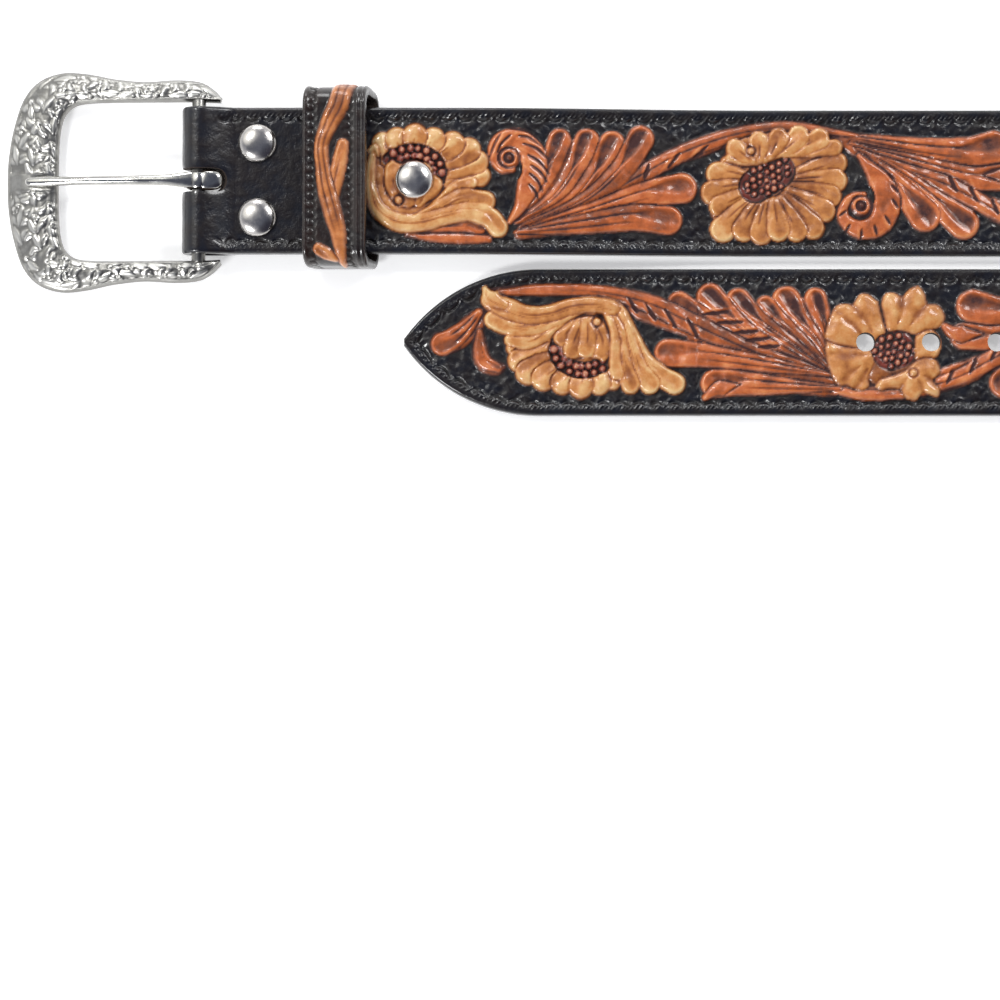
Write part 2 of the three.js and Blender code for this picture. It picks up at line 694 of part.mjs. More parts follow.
function keeperGeometry() {
  const half = KEEPER_WIDTH / 2;
  const shape = roundedBox(half, 0, KEEPER_HEIGHT, KEEPER_CORNER);
  const inside = roundedBox(
    half - KEEPER_LEATHER, KEEPER_LEATHER, KEEPER_HEIGHT - KEEPER_LEATHER, KEEPER_CORNER - KEEPER_LEATHER,
  );
  shape.holes.push(new THREE.Path(inside.getPoints(CORNER_STEPS).reverse()));
  const band = new THREE.ExtrudeGeometry(shape, {
    depth: KEEPER_LENGTH,
    bevelEnabled: false,
    curveSegments: CORNER_STEPS,
  });
  band.rotateX(Math.PI / 2).rotateZ(Math.PI / 2);
  const lean = new THREE.Matrix4().makeShear(0, 0, 0, 0, -KEEPER_LEAN / KEEPER_HEIGHT, 0);
  return geometryFrom(solidFrom(band).add(keeperLeaf(half - KEEPER_CORNER)))
    .applyMatrix4(lean)
    .translate(KEEPER_LEAN, 0, 0);
}

// The leaf on the keeper's face, cut off at the face's plain edges
function keeperLeaf(flatHalf) {
  const left = KEEPER_MARGIN;
  const right = KEEPER_LENGTH - KEEPER_MARGIN;
  const face = drawn([[left, -flatHalf], [right, -flatHalf], [right, flatHalf], [left, flatHalf]]);
  const bottom = KEEPER_HEIGHT - KEEPER_EMBED;
  const height = KEEPER_EMBED + KEEPER_RELIEF;
  const leaves = KEEPER_LEAF.map((row) => plate(new THREE.Shape(lobe(row)), bottom, height));
  return wasm.Manifold.union(leaves).intersect(plate(new THREE.Shape(face), bottom - GAP, height + GAP * 2));
}

// A snap: domed cap, post and flange in one, with heights above the surface
function snapGeometry(onRelief) {
  const flangeBottom = FOLD_BACK_BOTTOM + FLANGE_RISE;
  const relief = onRelief ? FLOWER_HEIGHT : 0;
  const seat = STACKED + LEATHER + relief + CAP_PLAY;
  const profile = [
    new THREE.Vector2(0, flangeBottom),
    new THREE.Vector2(FLANGE_RADIUS, flangeBottom),
    new THREE.Vector2(FLANGE_RADIUS, flangeBottom + FLANGE_THICKNESS),
    new THREE.Vector2(POST_RADIUS, flangeBottom + FLANGE_THICKNESS),
    new THREE.Vector2(POST_RADIUS, seat),
    new THREE.Vector2(SNAP_RADIUS, seat),
  ];
  for (let i = 0; i < DOME_STEPS; i++) {
    const turn = (Math.PI / 2) * (i / DOME_STEPS);
    const up = SNAP_RIM + (SNAP_DOME - SNAP_RIM) * Math.sin(turn);
    profile.push(new THREE.Vector2(SNAP_RADIUS * Math.cos(turn), seat + up));
  }
  profile.push(new THREE.Vector2(0, seat + SNAP_DOME));
  return new THREE.LatheGeometry(profile, SNAP_SIDES).rotateX(Math.PI / 2);
}

// Assembly

const BLACK_LEATHER = new THREE.MeshStandardMaterial({ color: 0x17141a, roughness: 0.42, metalness: 0 });
const KEEPER_BROWN = new THREE.MeshStandardMaterial({ color: 0x2c1a14, roughness: 0.45, metalness: 0 });
const SILVER = new THREE.MeshStandardMaterial({ color: 0xc9c7c2, roughness: 0.35, metalness: 1 });
const NICKEL = new THREE.MeshStandardMaterial({ color: 0xb9b4ae, roughness: 0.3, metalness: 1 });

function named(name, geometry, material) {
  const mesh = new THREE.Mesh(geometry, material);
  mesh.name = name;
  return mesh;
}

function buckleEnd() {
  const end = new THREE.Group();
  end.position.set(0, LEG_SPACING / 2, 0);
  end.add(named("buckle_frame", buckleFrameGeometry(), SILVER));
  end.add(named("prong", prongGeometry(), NICKEL));
  const keeper = named("keeper", keeperGeometry(), KEEPER_BROWN);
  keeper.position.x = KEEPER_START;
  end.add(keeper);
  for (const snap of SNAPS) {
    const mesh = named(snap.name, snapGeometry(snap.onRelief), NICKEL);
    mesh.position.set(snap.x, snap.y, 0);
    end.add(mesh);
  }
  return end;
}

const belt = new THREE.Group();
belt.add(named("strap", strapGeometry(), BLACK_LEATHER));
belt.add(buckleEnd());

// The origin is the middle of the belt's box, on the surface that it lies on
const box = new THREE.Box3().setFromObject(belt, true);
belt.position.set(-(box.min.x + box.max.x) / 2, -(box.min.y + box.max.y) / 2, -box.min.z);

export default belt;
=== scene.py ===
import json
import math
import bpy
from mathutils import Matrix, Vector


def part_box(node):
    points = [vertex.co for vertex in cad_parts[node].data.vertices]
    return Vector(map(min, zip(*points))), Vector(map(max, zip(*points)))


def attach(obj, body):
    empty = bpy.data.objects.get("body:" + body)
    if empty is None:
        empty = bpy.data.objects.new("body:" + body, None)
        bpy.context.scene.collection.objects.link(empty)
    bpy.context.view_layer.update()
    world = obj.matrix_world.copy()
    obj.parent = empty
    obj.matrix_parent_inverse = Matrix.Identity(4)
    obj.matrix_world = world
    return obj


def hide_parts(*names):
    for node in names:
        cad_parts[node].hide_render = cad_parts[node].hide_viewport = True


bl_info = {
    "name": "Carved Leather Belt",
    "version": (1, 0, 0),
    "blender": (4, 5, 0),
    "location": "View3D > Sidebar > Belt",
    "description": "Dresses a carved belt: tooled strap and keeper, engraved buckle, prong and snaps",
    "category": "Add Mesh",
}

from contextlib import contextmanager
from typing import NamedTuple

import bpy
import numpy as np
from mathutils import Vector

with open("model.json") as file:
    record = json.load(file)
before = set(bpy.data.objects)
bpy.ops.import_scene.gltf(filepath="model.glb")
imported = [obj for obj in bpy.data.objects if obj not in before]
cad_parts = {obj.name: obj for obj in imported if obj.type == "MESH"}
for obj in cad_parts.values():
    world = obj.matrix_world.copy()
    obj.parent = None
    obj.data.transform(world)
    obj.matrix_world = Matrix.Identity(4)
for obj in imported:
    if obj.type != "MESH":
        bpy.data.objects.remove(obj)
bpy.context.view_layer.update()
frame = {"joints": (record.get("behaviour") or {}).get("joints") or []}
BAR_PLACE = next(joint["pos_m"] for joint in frame["joints"] if joint["name"] == "prong_swing")
MM = 0.001
SEED = 7
WHITE = (1.0, 1.0, 1.0)
BLACK = (0.0, 0.0, 0.0)

# Strap, in millimetres, as it lies: s runs along it from the folded end, v across it
STRAP_WIDTH = 38.1
STRAP_LENGTH = 1114.0
LEATHER = 3.2
LEATHER_SKIVED = 2.2
FOLD_BACK = 66.0
TIP_LENGTH = 35.0
TIP_BLUNT = 0.95
TIP_BEYOND = 0.6
HIDDEN_NARROWER = 0.5
HIDDEN_FROM = 16.0
HIDDEN_TO = 4.0
LEG_SPACING = 41.1
FOLD_RADIUS = 2.1
BAR_HEIGHT = BAR_PLACE[2] / MM
STACKED = 4.8
DIP = 10.5
SLOPE_FROM = 68.0
SLOPE_TO = 150.0
BUCKLE_LEG = 342.7
TIP_LEG = 289.0
TWIST = 125.0
PATH_EXCESS = 1.0
FOLD_START = FOLD_BACK
FOLD_END = FOLD_START + math.pi * FOLD_RADIUS
LEG_END = FOLD_END + BUCKLE_LEG
STRAP_END = FOLD_END + STRAP_LENGTH - FOLD_RADIUS - LEATHER_SKIVED + PATH_EXCESS
TIP_LEG_START = STRAP_END - TIP_LEG
HALF_LOOP = (TIP_LEG_START - LEG_END) / 2
SHOULDER = STRAP_END - TIP_LENGTH
STEP = 0.25
SWING_FROM = 40.0
SWING_TO = 110.0
TURN_FROM = 110.0
TURN_FULL = 135.0
MOST_SWING = 0.05
CLOSING_TRIES = 24

# Holes
HOLE_RADIUS = 2.45
HOLE_COUNT = 7
HOLE_SPACING = 17.0
FIRST_HOLE = 119.5
SLOT_RADIUS = 3.1
SLOT_REACH = 6.7
HOLE_DIP = 0.25
HOLE_DIP_REACH = 0.45

# Where the strap's pieces meet, from the folded end, past the fold and back from the tip
HIDDEN_END = 52.0
FOLD_COVERED = 92.0
OUT_OF_VIEW = 216.0
BEFORE_HOLES = 231.0
PAST_HOLES = 112.0
HIDDEN_PITCH = 0.9

# Carving. The pattern's unit repeats, turned over each time.
UNIT_LENGTH = 252.0
UNITS = 4
UNIT_LEFT = -28.0
PATTERN_START = 53.7
FIRST_LEFT = -10.5
SHORT_RIGHT = 60.0
BORDER_WIDTH = 3.0
STAMP_PITCH = 4.6

# Buckle and prong, from the bar's middle
BAR_RADIUS = 1.8
BAR_LENGTH = 42.4
RING_INNER = 2.15
RING_OUTER = 3.5
RING_WIDTH = 4.4
FRAME_DROP = 4.0
FRAME_REACH = 46.0
FRAME_THICKNESS = 3.6
FRAME_PITCH = 0.28
FRAME_COLUMNS = 44
FRAME_HOLLOWS = (0.27, 0.265, 0.25)
RING_SOFT = 0.0004

# Keeper and snaps, from the bar's middle
KEEPER_START = 27.1
KEEPER_LENGTH = 16.2
KEEPER_LEAN = 3.4
KEEPER_LEATHER = 2.0
KEEPER_WIDTH = 46.5
KEEPER_SHIFT = 0.5
KEEPER_HEIGHT = 16.4
KEEPER_CORNER = 5.0
KEEPER_ROUND = 0.8
KEEPER_POINTS = 300
KEEPER_COLUMNS = 60
KEEPER_CARVED = (27, 33)
KEEPER_DRAWN = 34
KEEPER_STAMP_ROWS = (2.9, 12.2)
KEEPER_STAMP_PITCH = 2.3
KEEPER_BROWN = (0.014, 0.0075, 0.005)

# Snaps, in metres: dome, flange and post
DOME_HEIGHT = 0.0023
DOME_RIM = 0.00035
DOME_SQUARENESS = 0.86
FLANGE_RADIUS = 0.0042
FLANGE_THICKNESS = 0.0005
POST_RADIUS = 0.0015


def length_property(name, description, default, least, most):
    return bpy.props.FloatProperty(name=name, description=description, default=default, min=least, max=most,
                                   unit="LENGTH")


def colour_property(name, description, default):
    return bpy.props.FloatVectorProperty(name=name, description=description, default=default, size=3,
                                         subtype="COLOR")


class BeltFinish(bpy.types.PropertyGroup):
    """Depths and fineness of the carving, and the colours of leather and metal"""

    leaf_lift: length_property("Leaf Lift", "Height of the leaves above the ground", 0.00085, 0, 0.003)
    flower_lift: length_property("Flower Lift", "Height of the flowers above the ground", 0.0011, 0, 0.003)
    border_lift: length_property("Border Lift", "Height of the border above the ground", 0.0005, 0, 0.002)
    fine_pitch: length_property("Fine Pitch", "Spacing of the mesh on the two ends", 0.00034, 0.0001, 0.005)
    coarse_pitch: length_property("Coarse Pitch", "Spacing of the mesh on the loop", 0.00054, 0.0001, 0.005)
    ground_colour: colour_property("Ground", "Black dye of the ground and the borders", (0.008, 0.007, 0.008))
    leaf_colour: colour_property("Leaves", "Russet dye of the leaves and stems", (0.480, 0.118, 0.034))
    flower_colour: colour_property("Flowers", "Tan dye of the flowers", (0.540, 0.220, 0.066))
    seed_colour: colour_property("Seeds", "Red brown dye of the seeds", (0.130, 0.024, 0.015))
    silver_colour: colour_property("Silver", "Bright metal of the buckle", (0.78, 0.77, 0.73))
    nickel_colour: colour_property("Nickel", "Satin metal of the snaps", (0.74, 0.71, 0.68))


# The strap's way


def ease(s, start, end):
    t = np.clip((s - start) / (end - start), 0, 1)
    return t * t * (3 - 2 * t)


def roll_at(s):
    along = np.minimum(s - LEG_END, TIP_LEG_START - s)
    return math.pi / 2 * ease(along, 0, TWIST)


def height_at(s):
    dip = (BAR_HEIGHT + FOLD_RADIUS - STACKED) * (1 - ease(s, FOLD_END, FOLD_END + DIP))
    slope = STACKED * (1 - ease(s - FOLD_END, SLOPE_FROM, SLOPE_TO))
    return dip + slope + STRAP_WIDTH / 2 * np.sin(roll_at(s))


def turn_rate(along, swing):
    t = np.clip((along - SWING_FROM) / (SWING_TO - SWING_FROM), 0, 1)
    swung = swing * (SWING_TO - SWING_FROM) / 2
    turn = (math.pi / 2 + swung) / (HALF_LOOP - (TURN_FROM + TURN_FULL) / 2)
    ramp = np.clip((along - TURN_FROM) / (TURN_FULL - TURN_FROM), 0, 1)
    return swing * np.sin(math.pi * t) ** 2 - turn * ramp


def walk(swing):
    """The frames of the strap's flesh side from the fold to the tip: place, outward and across"""
    s = FOLD_END + STEP * np.arange(int((STRAP_END + STEP - FOLD_END) / STEP) + 1)
    rate = turn_rate(np.minimum(s - LEG_END, TIP_LEG_START - s), swing)
    rate = np.where((s > LEG_END) & (s < TIP_LEG_START), rate, 0)
    heading = np.concatenate([[0], np.cumsum(rate * STEP)[:-1]])
    climb = (height_at(s + STEP / 2) - height_at(s - STEP / 2)) / STEP
    flat = np.sqrt(1 - climb**2)
    along = np.stack([np.cos(heading) * flat, np.sin(heading) * flat, climb], 1)
    left = np.stack([-np.sin(heading), np.cos(heading), np.zeros_like(s)], 1)
    up = np.cross(along, left)
    roll = roll_at(s)[:, None]
    out = up * np.cos(roll) + left * np.sin(roll)
    steps = np.concatenate([[[0, 0]], np.cumsum(along[:-1, :2] * STEP, axis=0)])
    place = np.column_stack([steps[:, 0], LEG_SPACING / 2 + steps[:, 1], height_at(s)])
    return s, place, out, np.cross(out, along)


def close_loop():
    low, high = 0.0, MOST_SWING
    for _ in range(CLOSING_TRIES):
        middle = (low + high) / 2
        s, place, _, _ = walk(middle)
        if place[np.searchsorted(s, LEG_END + HALF_LOOP), 1] > 0:
            high = middle
        else:
            low = middle
    return walk((low + high) / 2)


WAY = close_loop()
PATTERN_AT = WAY[0][np.searchsorted(WAY[1][:, 0], PATTERN_START)]


def frames_at(s):
    """Place, outward and across at each s, also on the folded end and just past the tip"""
    share = (s - FOLD_END) / STEP
    i = np.clip(np.floor(share).astype(int), 0, len(WAY[0]) - 2)
    t = (share - i)[..., None]
    place, out, across = (values[i] * (1 - t) + values[i + 1] * t for values in WAY[1:])
    pitch = math.pi * np.clip((FOLD_END - s) / (FOLD_END - FOLD_START), 0, 1)
    zero = np.zeros_like(s)
    wrap_out = np.stack([-np.sin(pitch), zero, np.cos(pitch)], -1)
    wrap = wrap_out * FOLD_RADIUS + np.array([0, LEG_SPACING / 2, BAR_HEIGHT])
    wrap[..., 0] += np.maximum(0, FOLD_START - s)
    wrap_across = np.stack([zero, zero + 1, zero], -1)
    folded = (s < FOLD_END)[..., None]
    pairs = ((wrap, place), (wrap_out, out), (wrap_across, across))
    return [np.where(folded, there, here) for there, here in pairs]


def leather_at(s):
    return LEATHER_SKIVED + (LEATHER - LEATHER_SKIVED) * ease(s, FOLD_END + 1, FOLD_END + DIP - 1)


def half_width(s):
    arc = ((TIP_LENGTH + TIP_BEYOND) ** 2 + (STRAP_WIDTH / 2) ** 2) / STRAP_WIDTH
    along = np.maximum(0, s - SHOULDER)
    hidden = HIDDEN_NARROWER * (1 - ease(s, FOLD_START - HIDDEN_FROM, FOLD_START - HIDDEN_TO))
    return np.maximum(TIP_BLUNT, np.sqrt(arc**2 - along**2) - arc + STRAP_WIDTH / 2) - hidden


def on_strap(s, v, z):
    """The point at s along, v across and z through the leather, in metres in the belt's frame"""
    place, out, across = frames_at(s)
    points = place + across * v[..., None] + out * (z * leather_at(s) / LEATHER)[..., None]
    return to_frame(points)


def to_frame(points):
    """From millimetres round the bar's middle to metres in the belt's frame"""
    bar = np.array([0, LEG_SPACING / 2, BAR_HEIGHT])
    return (points - bar) * MM + np.array(BAR_PLACE)


# The carver's drawing. Each stroke lies over the earlier ones and presses them down along its edge.

LEAF = (1.0, 0.0, 0.0)
FLOWER = (0.0, 1.0, 0.0)
SEEDS = (0.0, 0.0, 1.0)
GROUND = (0.0, 0.0, 0.0)
DRAWING_PITCH = 0.2
GROUND_DENTS = 0.08
HAND_DENTS = 0.08
HAND_REACH = 0.8
SOFTENED = 0.17
# How far round a place its mean height is taken, and how much a hollow below it is painted darker (antique
# dye and painted shade); a rise above it is painted lighter (painted highlight)
ANTIQUE_AND_PAINTED_SHADE = ((0.6, 1.15), (2.0, 0.4))


def curve(points, steps=6):
    """A smooth line through the points"""
    p = np.array(points, float)
    ends = np.vstack([2 * p[0] - p[1], p, 2 * p[-1] - p[-2]])
    line = []
    for a, b, c, d in zip(ends, ends[1:], ends[2:], ends[3:]):
        for k in range(steps):
            t = k / steps
            line.append(0.5 * (2 * b + (c - a) * t + (2 * a - 5 * b + 4 * c - d) * t**2
                               + (3 * b - a - 3 * c + d) * t**3))
    return np.array(line + [p[-1]])


def run_along(line):
    """How far along the line each of its points lies"""
    return np.concatenate([[0], np.cumsum(np.hypot(*np.diff(line, axis=0).T))])


def along_line(line, x, y):
    """For each place: share of the line's length, distance from it and how far across it lies"""
    lengths = np.hypot(*np.diff(line, axis=0).T)
    total = lengths.sum()
    share = np.zeros_like(x)
    best = np.full_like(x, 1e9)
    across = np.zeros_like(x)
    start = 0.0
    for (ax, ay), (bx, by), length in zip(line, line[1:], lengths):
        dx, dy = (bx - ax) / length, (by - ay) / length
        t = np.clip((x - ax) * dx + (y - ay) * dy, 0, length)
        gap = np.hypot(x - ax - dx * t, y - ay - dy * t)
        closer = gap < best
        best = np.where(closer, gap, best)
        share = np.where(closer, (start + t) / total, share)
        across = np.where(closer, dx * (y - ay) - dy * (x - ax), across)
        start += length
    return share, best, across


class Drawing:
    """A carved face laid flat: height in millimetres, dye and darkness at each place"""

    def __init__(self, left, right, bottom, top, pitch, dents=0.0):
        self.left, self.bottom, self.pitch = left, bottom, pitch
        self.x, self.y = np.meshgrid(np.arange(left, right + pitch, pitch),
                                     np.arange(bottom, top + pitch, pitch), indexing="ij")
        random = np.random.default_rng(SEED)
        rough = blurred(random.normal(size=self.x.shape), 0.45 / pitch)
        self.height = rough / rough.std() * dents
        self.dark = np.zeros_like(self.x)
        self.dye = np.zeros(self.x.shape + (3,))

    def window(self, line, margin):
        low = (line.min(0) - margin - (self.left, self.bottom)) / self.pitch
        high = (line.max(0) + margin - (self.left, self.bottom)) / self.pitch
        top = np.array(self.x.shape)
        i0, j0 = np.clip(low.astype(int), 0, top)
        i1, j1 = np.clip(high.astype(int) + 1, 0, top)
        return slice(i0, i1), slice(j0, j1)

    def lay(self, where, inside, top, dye, tone=0.0, press=0.22, edge=0.8, line=0.26, nick=0.42):
        """Lays a stroke: inside is the distance in from its edge, top its height, tone its darkness
        and nick how deep its edge is cut into what lies below"""
        old = self.height[where]
        pressed = old - press * np.exp(np.minimum(inside, 0) / 0.5) * (0.3 + np.clip(old, 0, 1))
        foot = np.maximum(top * 0.25 - 0.05, np.minimum(pressed - nick, top - 0.1))
        self.height[where] = np.where(inside > 0, foot + (top - foot) * ease(inside, -0.15, edge), pressed)
        cover = ease(inside, -0.15, 0.1)
        self.dye[where] = self.dye[where] * (1 - cover[..., None]) + np.array(dye) * cover[..., None]
        self.dark[where] = self.dark[where] * (1 - cover) + tone * cover
        self.dark[where] += np.where(inside > 0, line, line * 0.5) * np.exp(-((inside / 0.4) ** 2))

    def sample(self, x, y):
        """Height, dye and darkness at any places"""
        fx = np.clip((x - self.left) / self.pitch, 0, self.x.shape[0] - 1.001)
        fy = np.clip((y - self.bottom) / self.pitch, 0, self.x.shape[1] - 1.001)
        i, j = fx.astype(int), fy.astype(int)
        tx, ty = fx - i, fy - j
        found = []
        for values in (self.height, self.dye, self.dark):
            wx, wy = (tx, ty) if values.ndim == 2 else (tx[..., None], ty[..., None])
            found.append((values[i, j] * (1 - wx) + values[i + 1, j] * wx) * (1 - wy)
                         + (values[i, j + 1] * (1 - wx) + values[i + 1, j + 1] * wx) * wy)
        return found

    def finish(self):
        """Leaves the hand's unevenness, and paints the face darker where it is lower than what is round it
        (antique dye on leather, oxide on silver, and painted shade) and lighter where it is higher (painted
        highlight)
        """
        uneven = blurred(np.random.default_rng(SEED + 1).normal(size=self.x.shape), HAND_REACH / self.pitch)
        self.height += uneven / uneven.std() * HAND_DENTS * self.dye.max(-1)
        hollow = sum((blurred(self.height, reach / self.pitch) - self.height) * share
                     for reach, share in ANTIQUE_AND_PAINTED_SHADE)
        # Hollows painted darker (antique dye and painted shade), rises painted lighter at half strength
        # (painted highlight)
        self.dark = np.clip(self.dark + np.where(hollow < 0, hollow * 0.5, hollow), -1, 1)
        self.height = blurred(self.height, SOFTENED / self.pitch)


def blurred(values, spread):
    reach = int(spread * 2.5) + 1
    kernel = np.exp(-0.5 * (np.arange(-reach, reach + 1) / spread) ** 2)
    kernel /= kernel.sum()
    for axis in (0, 1):
        padded = np.pad(values, [(reach, reach) if a == axis else (0, 0) for a in (0, 1)], mode="edge")
        size = values.shape[axis]
        values = sum(w * np.take(padded, range(k, k + size), axis=axis) for k, w in enumerate(kernel))
    return values


class Lobe(NamedTuple):
    """A tapered stroke: its line, half widths evenly along it, hollow of its end and its inner cuts"""

    line: list
    halves: list
    cup: float = 0.5
    cuts: int = 1


def lay_lobe(drawing, lobe, lift, dye, crown=0.26, cut=0.2, tilt=0.0, tone=0.0, root=0.0, hand=1,
             **edge):
    way = curve(lobe.line)
    halves = np.array(lobe.halves, float)
    where = drawing.window(way, halves.max() + 2.0)
    x, y = drawing.x[where], drawing.y[where]
    if not x.size:
        return
    share, gap, across = along_line(way, x, y)
    half = np.interp(share, np.linspace(0, 1, len(halves)), halves)
    inside = half - gap
    q = np.clip(gap / half, 0, 1)
    top = lift + crown * (0.5 - q**2) - tilt * hand * np.clip(across / half, -1, 1)
    dark = tone + root * (1 - ease(share, 0.0, 0.6))
    for k in range(lobe.cuts):
        offset = half * (2 * (k + 1) / (lobe.cuts + 1) - 1)
        groove = np.exp(-(((across - offset) / 0.24) ** 2)) * ease(inside, 0.2, 0.7)
        groove *= ease(share, 0.02, 0.2) * (1 - ease(share, 0.62, 0.86))
        top -= cut * groove
        # The inner cuts are painted darker, a painted shade.
        dark += 0.5 * groove
    if lobe.cup:
        reach = (1 - share) * np.hypot(*np.diff(way, axis=0).T).sum()
        narrow = np.maximum(0.1, half * 0.48 * (1 - ease(reach, halves[-1] * 0.3, halves[-1] * 2.9)))
        spoon = np.exp(-(((across * hand - half * 0.28) / narrow) ** 4))
        spoon *= np.exp(-((gap / (half * 0.74)) ** 6))
        rim = np.exp(-((inside - 0.55) / 0.4) ** 2) * ease(share, 0.7, 0.95)
        top += 0.14 * rim - lobe.cup * spoon
        # The cup's hollow is painted darker along one wall near the tip, a painted shadow; a raised cup
        # (negative) and the raised rim are painted lighter, painted highlights.
        dark += lobe.cup * 0.75 * spoon * (1 - ease(reach, 0, halves[-1] * 3)) - 0.08 * rim
    drawing.lay(where, inside, top, dye, dark, **edge)


def lay_area(drawing, outline, lift, dye, tone=0.0, crown=0.0, **edge):
    """A broad piece, drawn through its outline's points, that falls by its crown at its edge"""
    closed = np.array(outline + outline[:3], float)
    way = curve(closed, 4)[4:-8]
    where = drawing.window(way, 2.0)
    x, y = drawing.x[where], drawing.y[where]
    if not x.size:
        return
    _, gap, _ = along_line(np.vstack([way, way[:1]]), x, y)
    odd = np.zeros(x.shape, bool)
    for (ax, ay), (bx, by) in zip(way, np.roll(way, -1, axis=0)):
        if ay != by:
            odd ^= ((ay > y) != (by > y)) & (x < (bx - ax) * (y - ay) / (by - ay) + ax)
    inside = np.where(odd, gap, -gap)
    drawing.lay(where, inside, lift - crown * (1 - ease(inside, 0, 3.2)), dye, tone, **edge)


def lay_bead(drawing, x, y, radius, lift, dye, sunk=0.35, tone=0.0):
    """A round bead in a small pit"""
    where = drawing.window(np.array([[x, y]], float), radius * 2 + 0.6)
    gap = np.hypot(drawing.x[where] - x, drawing.y[where] - y)
    pit = np.exp(-((gap - radius * 1.25) / (radius * 0.35)) ** 2)
    dome = np.sqrt(np.clip(1 - (gap / radius) ** 2, 0, 1)) * radius * 0.75
    drawing.height[where] = np.where(gap < radius, lift - sunk + dome, drawing.height[where] - sunk * pit)
    cover = ease(radius * 1.15 - gap, -0.1, 0.15)
    drawing.dye[where] = drawing.dye[where] * (1 - cover[..., None]) + np.array(dye) * cover[..., None]
    drawing.dark[where] = drawing.dark[where] * (1 - cover) + tone * cover + 0.3 * pit


def lay_cut(drawing, line, width, depth, shade):
    """A cut of the swivel knife that swells and runs out, with the leather pushed up beside it"""
    line = curve(line)
    where = drawing.window(line, width * 2 + 1.0)
    share, gap, across = along_line(line, drawing.x[where], drawing.y[where])
    swell = np.sin(math.pi * np.clip(share * 0.8 + 0.16, 0, 1)) ** 0.8
    half = np.maximum(0.05, width * swell)
    groove = np.exp(-((gap / half) ** 2) * 1.6)
    ridge = np.exp(-(((across - width * 1.35) / (width * 0.6)) ** 2)) * swell * drawing.dye[where].max(-1)
    drawing.height[where] += 0.3 * depth * ridge - depth * groove
    # The cut is painted darker, a painted shade, and the pushed-up ridge beside it lighter, a painted
    # highlight.
    drawing.dark[where] += shade * (groove - 0.5 * ridge)


def lay_seeds(drawing, x, y, length, width, turn, lift, radius=0.72, pitch=2.0):
    """A bed of beads set close together in an oval"""
    angle = math.radians(turn)
    way = np.array([math.cos(angle), math.sin(angle)])
    side = np.array([-way[1], way[0]])
    ends = [tuple((x, y) + way * (length - width) * k) for k in (-1, 0, 1)]
    lay_lobe(drawing, Lobe(ends, [width, width], 0, 0), lift * 0.5, SEEDS, crown=0.1, press=0.1, line=0.08,
             nick=0.25)
    random = np.random.default_rng(SEED)
    rows = int(width / (pitch * 0.87)) + 1
    for row in range(-rows, rows + 1):
        for column in range(-12, 13):
            a = (column + 0.5 * (row % 2)) * pitch + random.uniform(-0.3, 0.3)
            b = row * pitch * 0.87 + random.uniform(-0.3, 0.3)
            if (a / (length - 0.5)) ** 2 + (b / (width - 0.4)) ** 2 < 1:
                place = np.array((x, y)) + way * a + side * b
                lay_bead(drawing, *place, radius * random.uniform(0.8, 1.12), lift, SEEDS, tone=-0.2)


# One unit of the pattern, in millimetres from the middle of its bell flower

LEAF_AREAS = [
    [(28, -13), (32, -5), (36, 3), (36.8, 10.4), (39.4, 12.6), (42.8, 11.2), (46.4, 12.8), (49.6, 10.6),
     (53.0, 12.2), (56.6, 11.0), (60.4, 13.6), (63.4, 11.4), (62.4, 5),
     (76, 11), (88, 14.6), (102, 14.4), (88, 11.2), (76, 6.5), (62.5, 2), (71, 1.2), (73.4, -1.8), (72, -5),
     (65, -5.5), (69.6, -8.5), (69, -13.4), (56, -12), (37, -14.3), (29, -15.3)],
    [(112, 14), (130, 11), (145, 10.5), (153, 11.6), (156.4, 9), (152, 5), (157.4, 4.6), (158.4, 1),
     (155, -1.6), (149, -2.2), (163, -7.4), (176, -11.2), (189, -10), (189, -13.5), (171, -15), (154, -11),
     (147.6, -7.4),
     (146.8, -13), (142.6, -13.4), (138, -8.8), (134.4, -10.2), (129.4, -6), (126, 0), (112, 10)],
    [(188, -9), (190, 0), (190.8, 9.6), (193.4, 13.0), (197, 11.8), (200.9, 13.4), (203.9, 11.0),
     (206.4, 11.2), (208.8, 7.8), (210.8, 10.6), (213.3, 13.0), (216.8, 11.6), (220.6, 14.0), (224.8, 11.4),
     (228.8, 12.2),
     (232, 10.2),
     (246, 14.4), (264, 15), (278, 14), (278, 12.4), (262, 12.2), (246, 11), (240, 6), (227, 1.2), (232, 0),
     (234.4, -3), (231, -6), (208, -7.6), (219, -7.6), (222, -10.5), (219.6, -13.9), (205, -13), (188, -14)],
]
